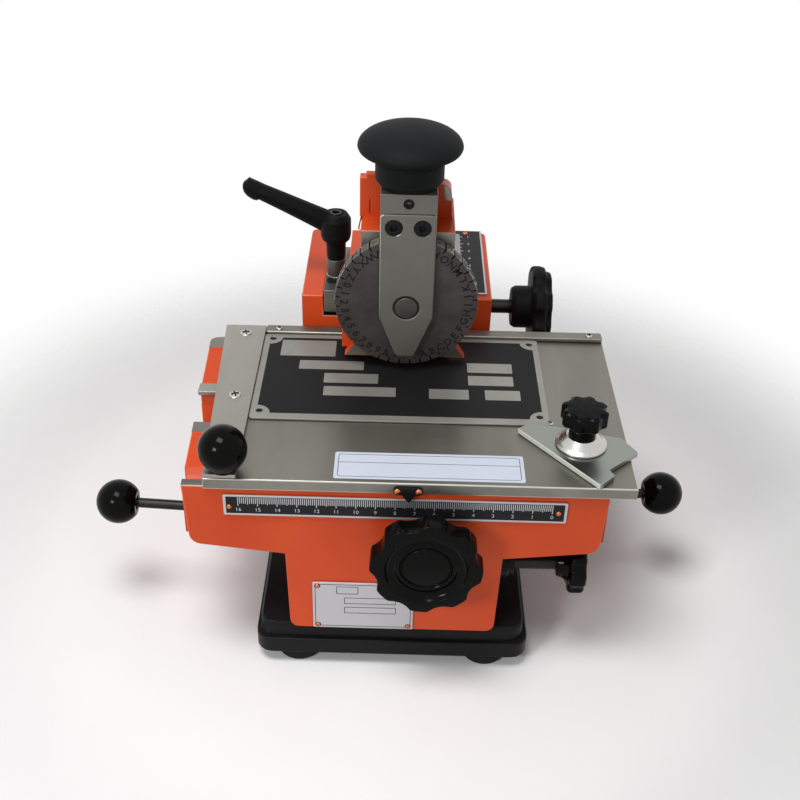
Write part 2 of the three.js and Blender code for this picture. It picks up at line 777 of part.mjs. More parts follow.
// Table plate with a chamfered rim, its two stops, pointer, guide bar and rack
function addTable() {
  const studHole = rodZ(
    clampStudRadius + seatGap, clampX, clampY, tableBottom - overrun, tableTop + overrun, smallSides,
  );
  const knobHole = rodZ(
    tableStudRadius + seatGap, tableBallX, tableBallY, tableBottom - overrun, tableTop + overrun, smallSides,
  );
  const plate = extrudeZ(roundedBox(tableLeft, tableRight, 0, tableDepth, tableChamfer, 2),
    tableBottom, tableTop, tableChamfer / 2);
  add('table_plate', cut(plate, studHole, knobHole), groundSteel());

  const stripFront = tableBallY + tableStudRadius + 2 * stripThickness;
  const stripBottom = tableTop + seatGap;
  add('side_stop', extrudeZ(roundedBox(
    tableLeft + seatGap, tableLeft + stripWidth, stripFront, tableDepth - seatGap, stripThickness / 2, 2,
  ), stripBottom, stripBottom + stripThickness, stripThickness / 5), groundSteel());
  add('back_fence', extrudeZ(roundedBox(
    tableLeft + stripWidth + seatGap, tableRight - seatGap,
    tableDepth - fenceDepth, tableDepth - seatGap, stripThickness / 2, 2,
  ), stripBottom, stripBottom + fenceThickness, stripThickness / 5), groundSteel());

  const pointerTop = tableTop - pointerRise;
  const earFoot = pointerTop - pointerEarHeight;
  add('pointer', extrudeY(outline([
    [pointerX, tableTop - pointerTipDrop],
    [pointerX + pointerWidth / 2, earFoot],
    [pointerX + pointerEarWidth / 2, earFoot],
    [pointerX + pointerEarWidth / 2, pointerTop],
    [pointerX - pointerEarWidth / 2, pointerTop],
    [pointerX - pointerEarWidth / 2, earFoot],
    [pointerX - pointerWidth / 2, earFoot],
  ]), -seatGap - pointerThickness, -seatGap), blackPlastic());

  const guideTop = tableBottom - seatGap;
  const guideBottom = guideTop - guideHeight;
  add('table_guide', extrudeZ(roundedBox(
    tableX - guideLength / 2, tableX + guideLength / 2,
    channelFrontY + runningGap, channelRearY - runningGap, stripThickness / 2, 2,
  ), guideBottom, guideTop), groundSteel());
  const rack = rackShape(
    gearModule, handwheelX - tableTravelRight - rackOverlap, handwheelX + tableTravelLeft + rackOverlap,
    handwheelX, rackPitchZ, guideBottom - seatGap,
  );
  add('table_rack', extrudeY(rack, channelMiddleY - rackWidth / 2, channelMiddleY + rackWidth / 2),
    darkSteel());

  const ballZ = tableTop + tableBallRise;
  add('table_ball', ball(tableBallX, tableBallY, ballZ, tableStudRadius + seatGap, 'down'), blackPlastic());
  const collar = tableTop + seatGap;
  add('table_ball_stud', turnedZ([
    [0, tableBottom + seatGap], [tableStudRadius, tableBottom + seatGap], [tableStudRadius, collar],
    [2 * tableStudRadius, collar], [2 * tableStudRadius, ballZ - ballRadius * ballSeatShare - seatGap],
    [tableStudRadius, ballZ - ballRadius * ballSeatShare - seatGap],
    [tableStudRadius, ballZ - seatGap], [0, ballZ - seatGap],
  ], tableBallX, tableBallY, smallSides), darkSteel());
}

// A ball knob of moulded plastic, cut flat at its seat and bored to its middle for the stud
const ballSeatShare = 0.82;
function ball(x, y, z, bore, facing) {
  const round = solid(new THREE.SphereGeometry(ballRadius, 20, 10).rotateX(Math.PI / 2));
  const reach = ballRadius + overrun;
  const trimmed = cut(
    round,
    block(-reach, reach, -reach, reach, -reach, -ballRadius * ballSeatShare),
    rodZ(bore, 0, 0, -reach, 0, smallSides),
  );
  const turn = { down: 0, left: -Math.PI / 2, right: Math.PI / 2 }[facing];
  const matrix = new THREE.Matrix4().makeRotationY(turn).setPosition(x, y, z);
  return moved(trimmed, matrix);
}

// Blank etched plate with a hole in each scalloped corner, lying against both stops
function addSamplePlate() {
  const left = tableLeft + stripWidth + seatGap;
  const right = tableRight - sampleInset;
  const back = tableDepth - fenceDepth - seatGap;
  const front = clampRearY + seatGap;
  const bottom = tableTop + seatGap;
  const top = bottom + sampleThickness;
  let plate = extrudeZ(roundedBox(left, right, front, back, sampleCorner), bottom, top);
  [left + sampleHoleInset, right - sampleHoleInset].forEach((x) => {
    [front + sampleHoleFront, back - sampleHoleInset].forEach((y) => {
      plate = plate.subtract(rodZ(sampleHoleRadius, x, y, bottom - overrun, top + overrun, 12));
    });
  });
  add('sample_plate', plate, darkSteel());
}

// Corner clamp: a pointed plate under a domed washer, held by a star knob on a stud
function addClamp() {
  const bottom = tableTop + seatGap;
  const notchX = clampX + clampNotchReach;
  const notchY = clampY - clampNotchDrop;
  const plate = extrudeZ(roundedOutline([
    [clampX - clampTipReach, clampY + clampTipRise, clampThickness / 4],
    [clampX + clampFootShift, clampY - clampFootReach, clampThickness / 4],
    [notchX + clampLobeReach, notchY - clampLobeDrop, clampThickness / 4],
    [notchX, notchY, clampThickness / 4],
    [clampX + clampEndReach, clampY - clampEndDrop, clampThickness / 4],
    [clampX + clampEndReach * clampShoulderShare, clampY + clampEndDrop, clampThickness],
    [clampX - clampTipReach * clampShoulderShare, clampRearY, clampThickness],
  ], 3), bottom, clampTop, clampThickness / 10);
  const bore = rodZ(
    clampStudRadius + runningGap, clampX, clampY, bottom - overrun, clampTop + overrun, smallSides,
  );
  add('clamp_plate', cut(plate, bore), brightSteel());

  const washerFoot = clampTop + runningGap;
  const washerTop = washerFoot + clampWasherHeight;
  const inner = clampStudRadius + runningGap;
  const dome = [[inner, washerFoot], [clampWasherRadius, washerFoot]];
  for (let i = 0; i <= 4; i += 1) {
    const turn = Math.PI / 2 * i / 4;
    dome.push([
      clampNeckRadius + (clampWasherRadius - clampNeckRadius) * Math.cos(turn),
      washerFoot + clampWasherHeight * (washerEdgeShare + (1 - washerEdgeShare) * Math.sin(turn)),
    ]);
  }
  dome.push([inner, washerTop], [inner, washerFoot]);
  add('clamp_washer', turnedZ(dome, clampX, clampY, sides), brightSteel());

  const neckFoot = washerTop + runningGap;
  const knobFoot = neckFoot + clampNeckHeight;
  const knobTop = knobFoot + clampKnobHeight;
  const neck = turnedZ([
    [0, neckFoot], [clampNeckRadius, neckFoot],
    [clampNeckRadius * clampNeckShare, knobFoot + clampKnobHeight / 4], [0, knobFoot + clampKnobHeight / 4],
  ], clampX, clampY, smallSides);
  const star = extrudeZ(
    shifted(flutedShape(clampKnobRadius, clampKnobLobes, clampFluteRadius, clampFluteDepth), clampX, clampY),
    knobFoot, knobTop, clampKnobCrown / 2,
  );
  const crown = turnedZ([
    [0, knobTop - clampKnobCrown], [clampNeckRadius, knobTop - clampKnobCrown],
    [clampNeckRadius * clampNeckShare, knobTop + clampKnobCrown], [0, knobTop + clampKnobCrown],
  ], clampX, clampY, smallSides);
  const socket = rodZ(clampStudRadius + seatGap, clampX, clampY, neckFoot - overrun, knobFoot, smallSides);
  add('clamp_knob', cut(join(neck, star, crown), socket), blackPlastic());
  add('clamp_stud', rodZ(
    clampStudRadius, clampX, clampY, tableBottom + seatGap, knobFoot - seatGap, smallSides,
  ), darkSteel());
}
const clampShoulderShare = 0.76;
const washerEdgeShare = 0.25;
const clampNeckShare = 0.86;

// Lobed handwheel with an annular recess, its shaft, its pinion and the two bushes
function addHandwheel() {
  const rearY = bedFrontY - bushFlangeHeight - 2 * runningGap - handwheelHubLength;
  const frontY = rearY - handwheelThickness;
  const rim = extrudeY(
    shifted(flutedShape(
      handwheelRadius, handwheelLobes, handwheelFluteRadius, handwheelFluteDepth, handwheelPhase,
    ), handwheelX, handwheelZ),
    frontY, rearY, handwheelThickness / 5,
  );
  const hub = rodY(handwheelHubRadius, handwheelX, handwheelZ, rearY - overrun, rearY + handwheelHubLength);
  const recess = turnedY(
    tubeProfile(handwheelRecessInner, handwheelRecessOuter, frontY - overrun, frontY + handwheelRecess),
    handwheelX, handwheelZ, sides,
  );
  const bore = rodY(
    shaftRadius + seatGap, handwheelX, handwheelZ,
    rearY - handwheelThickness / 2, rearY + handwheelHubLength + overrun, smallSides,
  );
  add('handwheel', cut(join(rim, hub), recess, bore), blackPlastic());
  add('handwheel_shaft', rodY(
    shaftRadius, handwheelX, handwheelZ,
    rearY - handwheelThickness / 2 + seatGap, bearingRearY + bushFlangeHeight, smallSides,
  ), brightSteel());

  const pinionFrontY = channelMiddleY - rackWidth / 2;
  const pinion = extrudeY(
    shifted(gearPoints(gearModule, feedTeeth, Math.PI / 2), handwheelX, handwheelZ),
    pinionFrontY, pinionFrontY + rackWidth,
  );
  add('feed_pinion', cut(pinion, rodY(
    shaftRadius + seatGap, handwheelX, handwheelZ,
    pinionFrontY - overrun, pinionFrontY + rackWidth + overrun, smallSides,
  )), darkSteel());

  addBush('front_bush', bedFrontY - seatGap, bedFrontY + castWall, -1);
  addBush('rear_bush', bearingRearY + seatGap, bearingFrontY, 1);
}

// A flanged bush along Y: the flange lies against the face at flangeY and points outward
function addBush(name, flangeY, endY, outward) {
  const inner = shaftRadius + runningGap;
  const outer = shaftRadius + bushWall;
  const flange = outer + bushFlange;
  const outside = flangeY + outward * bushFlangeHeight;
  const profile = outward < 0
    ? [[inner, outside], [flange, outside], [flange, flangeY], [outer, flangeY], [outer, endY],
      [inner, endY], [inner, outside]]
    : [[inner, endY], [outer, endY], [outer, flangeY], [flange, flangeY], [flange, outside],
      [inner, outside], [inner, endY]];
  add(name, turnedY(profile, handwheelX, handwheelZ, smallSides), bronze());
}

// Star knob on a cross shaft under the right wing, which sets the letter spacing
function addSpacingKnob() {
  const wall = pedestalHalf + seatGap;
  const boss = wall + spacingBossLength;
  add('spacing_boss', turnedX(tubeProfile(
    spacingShaftRadius + runningGap, spacingBossRadius, wall, boss,
  ), spacingY, spacingZ, smallSides), blackCasting());
  const hubEnd = spacingKnobX + spacingHubLength;
  const star = extrudeX(
    shifted(
      flutedShape(spacingKnobRadius, spacingLobes, spacingFluteRadius, spacingFluteDepth), spacingY, spacingZ,
    ),
    hubEnd, hubEnd + spacingKnobThickness, spacingKnobThickness / 5,
  );
  const hub = turnedX([
    [0, spacingKnobX], [spacingHubRadius, spacingKnobX],
    [2 * spacingHubRadius * clampNeckShare, hubEnd + spacingKnobThickness / 3],
    [0, hubEnd + spacingKnobThickness / 3],
  ], spacingY, spacingZ, smallSides);
  const bore = rodX(
    spacingShaftRadius + seatGap, spacingY, spacingZ, spacingKnobX - overrun, hubEnd, smallSides,
  );
  add('spacing_knob', cut(join(star, hub), bore), blackPlastic());
  add('spacing_shaft', rodX(
    spacingShaftRadius, spacingY, spacingZ, pedestalHalf - 2 * castWall, hubEnd - seatGap, smallSides,
  ), darkSteel());
}

// A lever that swings in a fork on the pedestal's side; side is -1 for left and 1 for right
function addLever(name, side, y, z) {
  const pivotX = side * (pedestalHalf + seatGap + leverForkBase + leverPivotOffset);
  const wallX = side * (pedestalHalf + seatGap);
  const baseX = wallX + side * leverForkBase;
  const halfHub = leverHubLength / 2;
  const earEnd = pivotX + side * leverHubRadius;
  const between = (a, b) => [Math.min(a, b), Math.max(a, b)];
  const earReach = halfHub + runningGap + leverForkWall;
  const foot = block(
    ...between(wallX, baseX), y - earReach, y + earReach, z - leverHubRadius, z + leverHubRadius,
  );
  const ears = [-1, 1].map((way) => {
    const inner = y + way * (halfHub + runningGap);
    return block(
      ...between(wallX, earEnd), ...between(inner, inner + way * leverForkWall),
      z - leverHubRadius, z + leverHubRadius,
    );
  });
  const pinBore = rodY(
    leverPinRadius + seatGap, pivotX, z, y - earReach - overrun, y + earReach + overrun, smallSides,
  );
  add(`${name}_fork`, cut(join(foot, ...ears), pinBore), darkSteel());

  const headY = y - earReach - seatGap;
  const pin = join(
    rodY(leverPinRadius, pivotX, z, headY, y + earReach, smallSides),
    rodY(leverPinHead, pivotX, z, headY - leverPinRadius, headY, smallSides),
  );
  add(`${name}_pin`, pin, brightSteel());

  // The rod leaves the hub square to the pin and rises slightly towards the ball
  const reach = leverBallX - Math.abs(pivotX);
  const length = reach / Math.cos(leverTilt);
  const hub = rodY(leverHubRadius, 0, 0, -halfHub, halfHub, smallSides);
  const rod = rodX(leverRodRadius, 0, 0, 0, length - seatGap, smallSides);
  const hubBore = rodY(leverPinRadius + runningGap, 0, 0, -halfHub - overrun, halfHub + overrun, smallSides);
  const lift = new THREE.Matrix4().makeRotationY(-leverTilt);
  if (side < 0) lift.premultiply(new THREE.Matrix4().makeRotationZ(Math.PI));
  lift.setPosition(pivotX, y, z);
  add(`${name}_rod`, moved(cut(join(hub, rod), hubBore), lift), darkSteel());
  const knob = ball(length, 0, 0, leverRodRadius + seatGap, 'right');
  add(`${name}_ball`, moved(knob, lift), blackPlastic());
}

// Arm casting: a column behind the bed and, on top, a channel between two cheeks for the carriage
function addArm() {
  const headFoot = armTop - armHeadDepth;
  const columnFront = bedRearY + seatGap;
  const columnRear = armRearY - columnRearInset;
  const side = extrudeX(roundedOutline([
    [columnFront, bodyFoot], [columnRear, bodyFoot],
    [columnRear, headFoot - columnRearInset, columnRearInset],
    [armRearY, headFoot, columnRearInset], [armRearY, armTop, armCorner], [armFrontY, armTop],
    [armFrontY, headFoot], [columnFront, headFoot - armCorner],
  ]), -armLeft, armRight);
  const face = extrudeY(roundedOutline([
    [-columnHalf, bodyFoot], [columnHalf, bodyFoot], [columnHalf, headFoot - columnRearInset],
    [armRight, headFoot, armCorner], [armRight, armTop], [-armLeft, armTop],
    [-armLeft, headFoot, armCorner], [-columnHalf, headFoot - columnRearInset],
  ]), columnFront - overrun, armRearY + overrun);
  const plan = extrudeZ(roundedOutline([
    [-armLeft, columnFront], [armRight, columnFront],
    [armRight, armRearY, 2 * armCorner], [-armLeft, armRearY, 2 * armCorner],
  ]), bodyFoot - overrun, armTop + overrun);
  const channel = block(
    armInnerLeft, armInnerRight, armFrontY - overrun, armRearY + overrun, armFloor, armTop + overrun,
  );
  const room = extrudeZ(roundedBox(
    columnWall - columnHalf, columnHalf - columnWall,
    columnFront + columnWall, columnRear - columnWall, armCorner,
  ), bodyFoot - overrun, headFoot - columnRoof);
  const rackSlotHalf = headRackWidth / 2 + runningGap + seatGap;
  const rackSlot = block(
    headX - rackSlotHalf, headX + rackSlotHalf, armFrontY - overrun, armRearY + overrun,
    headPitchZ - 2 * headModule, armFloor + overrun,
  );
  const pinionRoom = rodX(
    headRadius + 2 * headModule, headShaftY, headShaftZ, headX - rackSlotHalf, headX + rackSlotHalf,
  );
  const shaftBore = rodX(
    headShaftRadius + runningGap, headShaftY, headShaftZ,
    headX - 2 * rackSlotHalf, armRight + overrun, smallSides,
  );
  const bushSeat = rodX(
    headShaftRadius + bushWall + seatGap, headShaftY, headShaftZ,
    armRight - 2 * bushWall - seatGap, armRight + overrun, smallSides,
  );
  const body = side.intersect(face).intersect(plan);
  add('arm_casting', cut(body, channel, room, rackSlot, pinionRoom, shaftBore, bushSeat), orangePaint());

  const scaleRight = armRight - scaleInset;
  add('arm_scale', extrudeZ(roundedBox(
    scaleRight - scaleWidth, scaleRight, armFrontY + scaleInset, armFrontY + scaleInset + scaleLength,
    plateThickness,
  ), armTop + seatGap, armTop + seatGap + plateThickness), blackPlastic());
  add('head_shaft_bush', turnedX([
    [headShaftRadius + runningGap, armRight - 2 * bushWall],
    [headShaftRadius + bushWall, armRight - 2 * bushWall],
    [headShaftRadius + bushWall, armRight + seatGap],
    [headShaftRadius + bushWall + bushFlange, armRight + seatGap],
    [headShaftRadius + bushWall + bushFlange, armRight + seatGap + bushFlangeHeight],
    [headShaftRadius + runningGap, armRight + seatGap + bushFlangeHeight],
    [headShaftRadius + runningGap, armRight - 2 * bushWall],
  ], headShaftY, headShaftZ, smallSides), bronze());
}

function addHeadKnob() {
  const hubEnd = headKnobX + headHubLength;
  const star = extrudeX(
    shifted(
      flutedShape(headKnobRadius, headKnobLobes, headFluteRadius, headFluteDepth, headKnobPhase),
      headShaftY, headShaftZ,
    ),
    hubEnd, hubEnd + headKnobThickness, headKnobThickness / 5,
  );
  const hub = turnedX([
    [0, headKnobX], [headHubRadius * clampNeckShare, headKnobX], [headHubRadius, headKnobX + overrun],
    [headHubRadius, hubEnd + headKnobThickness / 3], [0, hubEnd + headKnobThickness / 3],
  ], headShaftY, headShaftZ, sides);
  const bore = rodX(
    headShaftRadius + seatGap, headShaftY, headShaftZ, headKnobX - overrun, hubEnd, smallSides,
  );
  add('head_knob', cut(join(star, hub), bore), blackPlastic());
  const pinionLeft = headX - headRackWidth / 2;
  const pinionRight = headX + headRackWidth / 2;
  add('head_shaft', rodX(
    headShaftRadius, headShaftY, headShaftZ, pinionLeft, hubEnd - seatGap, smallSides,
  ), darkSteel());
  const pinion = extrudeX(
    shifted(gearPoints(headModule, headTeeth, Math.PI / 2), headShaftY, headShaftZ), pinionLeft, pinionRight,
  );
  add('head_pinion', cut(pinion, rodX(
    headShaftRadius + seatGap, headShaftY, headShaftZ,
    pinionLeft - overrun, pinionRight + overrun, smallSides,
  )), darkSteel());
}

// Carriage casting: slide plate, upright head with its platform and tower, and a nose by the work
function addCarriage() {
  const slideTop = slideBottom + slideHeight;
  const overhang = tableTop + overhangRise;
  const towerTop = platformZ + towerHeight;
  const slideRight = armInnerRight - runningGap;
  const side = extrudeX(roundedOutline([
    [carriageFrontY, overhang], [slideRearY, overhang], [slideRearY, slideTop, slideHeight / 4],
    [towerRearY + shoulderRun, slideTop, shoulderRun / 2],
    [towerRearY, slideTop + shoulderRise, shoulderRun / 2],
    [towerRearY, platformZ - towerKnee, shoulderRun / 2],
    [towerY + towerRidge, towerTop, towerRidge / 4], [towerY, towerTop], [towerY, platformZ],
    [carriageFrontY, platformZ],
  ]), headX - towerLeft - overrun, headX + carriageHalf + overrun);
  const ribTop = towerTop - towerRibDrop;
  const face = extrudeY(roundedOutline([
    [headX - carriageHalf, overhang - overrun], [headX + carriageHalf, overhang - overrun],
    [headX + carriageHalf, platformZ], [headX + towerRight + towerDraft, platformZ],
    [headX + towerRight, platformZ + lugHeight, lugCorner], [headX, platformZ + lugHeight],
    [headX, towerTop], [headX - towerLeft + towerRibWidth, towerTop],
    [headX - towerLeft + towerRibWidth, ribTop], [headX - towerLeft, ribTop],
    [headX - towerLeft, platformZ], [headX - carriageHalf, platformZ],
  ]), carriageFrontY - overrun, slideRearY + overrun);
  const upright = side.intersect(face);
  const slide = block(-slideLeft, slideRight, armFrontY - shoulderRun, slideRearY, slideBottom, slideTop);
  const lift = block(
    -slideLeft, slideRight, carriageFrontY + noseDepth, armFrontY - shoulderRun + overrun, overhang, slideTop,
  );
  const noseFoot = tableTop + noseRise;
  const nose = extrudeY(outline([
    [headX - noseFootHalf, noseFoot], [headX + noseFootHalf, noseFoot],
    [headX + noseTopHalf, noseFoot + noseHeight], [headX + carriageHalf, noseFoot + 2 * noseHeight],
    [headX - carriageHalf, noseFoot + 2 * noseHeight], [headX - noseTopHalf, noseFoot + noseHeight],
  ]), carriageFrontY, carriageFrontY + noseDepth);
  const slot = block(
    headX - slideBarHalf - runningGap, headX + slideBarHalf + runningGap,
    carriageFrontY - overrun, slideBarRearY + runningGap, slotFoot, platformZ + overrun,
  );
  const grooveHalf = headRackWidth / 2 + seatGap;
  const rackFront = headShaftY - headTravelRear - rackOverlap;
  const rackRear = headShaftY + headTravelFront + rackOverlap;
  const groove = block(
    headX - grooveHalf, headX + grooveHalf, rackFront - seatGap, rackRear + seatGap,
    tableTop, headPitchZ + dedendumShare * headModule + headRackHeight + seatGap,
  );
  const body = join(upright, slide, lift, nose);
  const under = block(
    -armLeft, armRight, carriageFrontY + noseDepth, slideRearY + overrun, tableTop, slideBottom,
  );
  const trimmed = cut(body, cut(under, block(
    -armLeft, armRight, carriageFrontY, armFrontY - shoulderRun, tableTop, overhang,
  )));
  add('carriage_casting', cut(trimmed, slot, groove), orangePaint());

  const rack = rackShape(
    headModule, rackFront, rackRear, headShaftY, headPitchZ,
    headPitchZ + dedendumShare * headModule + headRackHeight,
  );
  add('head_rack', extrudeX(rack, headX - headRackWidth / 2, headX + headRackWidth / 2), darkSteel());
}

// Steel shoe whose lip the lever clamps down on the slide, the stud and the moulded lever
function addClampLever() {
  const shoeFoot = armFloor + seatGap;
  const shoeTop = tableTop + shoeRise;
  const shoeLeft = armInnerLeft + seatGap;
  const shoeRight = -slideLeft - runningGap;
  const lipFoot = slideBottom + slideHeight + runningGap;
  const shoe = extrudeY(outline([
    [shoeLeft, shoeFoot], [shoeRight, shoeFoot], [shoeRight, lipFoot],
    [shoeRight + shoeLip, lipFoot], [shoeRight + shoeLip, shoeTop], [shoeLeft, shoeTop],
  ]), armFrontY, armFrontY + shoeDepth);
  const relief = block(
    shoeLeft - overrun, shoeRight + overrun, armFrontY - overrun, armFrontY + shoeReliefDepth,
    shoeFoot - overrun, shoeFoot + shoeRelief,
  );
  add('clamp_shoe', cut(shoe, relief, rodZ(
    handleStudRadius + runningGap, leverX, leverY, shoeFoot - overrun, shoeTop + overrun, smallSides,
  )), groundSteel());

  const postFoot = shoeTop + runningGap;
  const neckFoot = postFoot + postHeight;
  const hubFoot = neckFoot + handleNeckHeight;
  const hubTop = hubFoot + handleHubHeight;
  const post = join(
    rodZ(postRadius, leverX, leverY, postFoot, neckFoot - seatGap, smallSides),
    rodZ(handleStudRadius, leverX, leverY, shoeFoot + seatGap, hubTop - 2 * overrun, smallSides),
  );
  add('clamp_lever_stud', post, darkSteel());

  const hub = turnedZ([
    [0, neckFoot], [handleNeckRadius, neckFoot], [handleNeckRadius, hubFoot],
    [handleHubRadius, hubFoot + handleHubRadius - handleNeckRadius],
    [handleHubRadius, hubTop - overrun / 2], [handleHubRadius - overrun / 2, hubTop], [0, hubTop],
  ], leverX, leverY, smallSides);
  const along = Math.hypot(handleReach, handleRise);
  const arm = turned([
    [0, 0], [handleRootRadius, 0], [handleRootRadius, handleHubRadius],
    [handleTipRadius, along * handleWaistShare], [handleTipRadius * handleTipShare, along - handleTipRadius],
    [handleTipRadius * handleWaistShare, along], [0, along],
  ], 12);
  const flatten = new THREE.Matrix4().makeScale(1, 1, handleFlatShare);
  const tip = Math.atan2(handleReach, handleRise);
  const armPlace = new THREE.Matrix4().makeRotationY(-tip)
    .multiply(new THREE.Matrix4().makeRotationX(Math.PI / 2)).multiply(flatten);
  armPlace.setPosition(leverX, leverY, hubTop - handleRootRadius * handleTipShare);
  const lever = join(hub, moved(solid(arm), armPlace));
  add('clamp_lever_handle', cut(lever, rodZ(
    handleStudRadius + seatGap, leverX, leverY,
    neckFoot - overrun, hubTop - 2 * overrun + seatGap, smallSides,
  )), blackPlastic());
}
const handleWaistShare = 0.55;
const handleFlatShare = 0.8;

// Ram: the block with its slide bar, the pointed front plate, axle, screws, button and spring
function addRam() {
  const top = tableTop + frontPlateTopRise;
  const stepZ = top + seatGap;
  const head = block(
    headX - ramHalf, headX + ramHalf, frontPlateRearY + seatGap, ramFrontY + ramDepth, ramBottom, ramTop,
  );
  const brow = block(
    headX - ramHalf, headX + ramHalf, ramFrontY, frontPlateRearY + overrun, stepZ, ramTop,
  );
  const bar = block(
    headX - slideBarHalf, headX + slideBarHalf,
    slideBarFrontY, slideBarRearY, slideBarFoot, ramBottom + overrun,
  );
  const axleSeat = rodY(
    axleRadius + seatGap, headX, wheelZ, slideBarFrontY - overrun, slideBarRearY + overrun, sides,
  );
  const screws = [-1, 1].map((way) => headX + way * screwSpread);
  const screwZ = tableTop + screwRise;
  const screwEnd = frontPlateRearY + 2 * frontPlateThickness;
  const taps = screws.map((x) => rodY(
    screwShankRadius + seatGap, x, screwZ, frontPlateRearY - overrun, screwEnd + seatGap, smallSides,
  ));
  const buttonTap = rodZ(
    axleRadius / 2 + seatGap, headX, buttonY, ramTop - 2 * frontPlateThickness, ramTop + overrun, smallSides,
  );
  const setScrew = rodY(
    screwSocketRadius, headX, (stepZ + ramTop) / 2, ramFrontY - overrun, ramFrontY + screwHeadHeight, 6,
  );
  add('ram_block', cut(join(head, brow, bar), axleSeat, ...taps, buttonTap, setScrew), groundSteel());

  const plateShape = roundedOutline([
    [headX - ramHalf, top, 2 * frontPlateBevel],
    [headX - ramHalf, tableTop + frontPlateShoulderRise, ramHalf / 2],
    [headX - frontPlateTipHalf, tableTop + frontPlateTipRise, 2 * frontPlateBevel],
    [headX + frontPlateTipHalf, tableTop + frontPlateTipRise, 2 * frontPlateBevel],
    [headX + ramHalf, tableTop + frontPlateShoulderRise, ramHalf / 2],
    [headX + ramHalf, top, 2 * frontPlateBevel],
  ]);
  const axleHole = rodY(axleHoleRadius, headX, wheelZ, ramFrontY - overrun, frontPlateRearY + overrun);
  const screwHoles = screws.map((x) => join(
    rodY(screwShankRadius + seatGap, x, screwZ, ramFrontY - overrun, frontPlateRearY + overrun, smallSides),
    rodY(screwHeadRadius + seatGap, x, screwZ, ramFrontY - overrun, ramFrontY + screwHeadHeight, smallSides),
  ));
  add('front_plate', cut(
    extrudeY(plateShape, ramFrontY, frontPlateRearY, frontPlateBevel / 2), axleHole, ...screwHoles,
  ), groundSteel());
  ['left', 'right'].forEach((side, i) => {
    socketScrew(`plate_screw_${side}`, screws[i], screwZ, ramFrontY - seatGap, screwEnd);
  });
  add('wheel_axle', rodY(
    axleRadius, headX, wheelZ, ramFrontY - axleProud, slideBarRearY - seatGap,
  ), darkSteel());

  const foot = ramTop + seatGap;
  const tapFoot = foot - 2 * frontPlateThickness + 2 * seatGap;
  const profile = [
    [0, tapFoot], [axleRadius / 2, tapFoot], [axleRadius / 2, foot], [buttonFootRadius, foot],
    [buttonNeckRadius, foot + buttonNeckFoot], [buttonNeckRadius, foot + buttonNeckHeight],
  ];
  const flareSteps = 4;
  for (let i = 1; i <= flareSteps; i += 1) {
    const turn = Math.PI / 2 * i / flareSteps;
    profile.push([
      buttonNeckRadius + (buttonRimRadius - buttonNeckRadius) * Math.sin(turn),
      foot + buttonNeckHeight + (buttonRimHeight - buttonNeckHeight) * (1 - Math.cos(turn)),
    ]);
  }
  const domeSteps = 7;
  for (let i = 1; i <= domeSteps; i += 1) {
    const turn = Math.PI / 2 * i / domeSteps;
    profile.push([
      buttonRimRadius * Math.cos(turn) ** domeShare,
      foot + buttonRimHeight + (buttonHeight - buttonRimHeight) * Math.sin(turn),
    ]);
  }
  profile[profile.length - 1][0] = 0;
  add('palm_button', turnedZ(profile, headX, buttonY, fineSides), blackPlastic());
  addSpring();
}
const domeShare = 0.9;

// Return spring in the carriage slot below the slide bar: one unbroken coil with closed ends
function addSpring() {
  const foot = slotFoot + seatGap + springWire;
  const top = slideBarFoot - seatGap - springWire;
  class Coil extends THREE.Curve {
    getPoint(t) {
      const turn = 2 * Math.PI * springTurns * t;
      const middleY = (slideBarFrontY + slideBarRearY) / 2;
      return new THREE.Vector3(
        headX + springRadius * Math.cos(turn),
        middleY + springRadius * Math.sin(turn),
        foot + (top - foot) * t,
      );
    }
  }
  const section = outline(Array.from({ length: wireSides }, (_, k) => {
    const turn = 2 * Math.PI * k / wireSides;
    return [springWire * Math.cos(turn), springWire * Math.sin(turn)];
  }));
  const steps = springTurns * coilSteps;
  const geometry = new THREE.ExtrudeGeometry(section, { steps, extrudePath: new Coil() });
  add('ram_spring', solid(geometry), brightSteel());
}

// Type wheel: forty slugs stand on the rim of a dished disc; the space between two slugs is even
function addTypeWheel() {
  const rear = wheelFrontY + wheelThickness;
  const disc = rodY(wheelFaceRadius, headX, wheelZ, wheelFrontY, rear, 2 * slugCount);
  const points = [];
  const pitch = 2 * Math.PI / slugCount;
  const gapTurn = slugGap / wheelRadius / 2;
  const rootTurn = gapTurn * wheelRadius / wheelFaceRadius * slugRootShare;
  for (let slug = 0; slug < slugCount; slug += 1) {
    const start = slug * pitch - Math.PI / 2 - pitch / 2;
    [[start - rootTurn, -1], [start + rootTurn, -1], [start + gapTurn, 1], [start + pitch - gapTurn, 1]]
      .forEach(([turn, raised]) => {
        const radius = raised > 0 ? wheelRadius : wheelFaceRadius - slugInset;
        points.push([headX + radius * Math.cos(turn), wheelZ + radius * Math.sin(turn)]);
      });
  }
  const slugs = extrudeY(outline(points), wheelFrontY + slugInset, rear - slugInset);
  const bore = rodY(wheelBoreRadius, headX, wheelZ, wheelFrontY - overrun, rear + overrun);
  const dish = turnedY(
    tubeProfile(wheelHubRadius, wheelDishOuter, rear - wheelDish, rear + overrun), headX, wheelZ, sides,
  );
  add('type_wheel', cut(join(disc, slugs), bore, dish), darkSteel());
}
const slugRootShare = 0.6;

addFeet();
addBase();
addBody();
addGuideRail();
addFrontPlates();
addTable();
addSamplePlate();
addClamp();
addHandwheel();
addSpacingKnob();
addLever('left_lever', -1, leftLeverY, leftLeverZ);
addLever('right_lever', 1, rightLeverY, rightLeverZ);
addArm();
addHeadKnob();
addCarriage();
addClampLever();
addRam();
addTypeWheel();

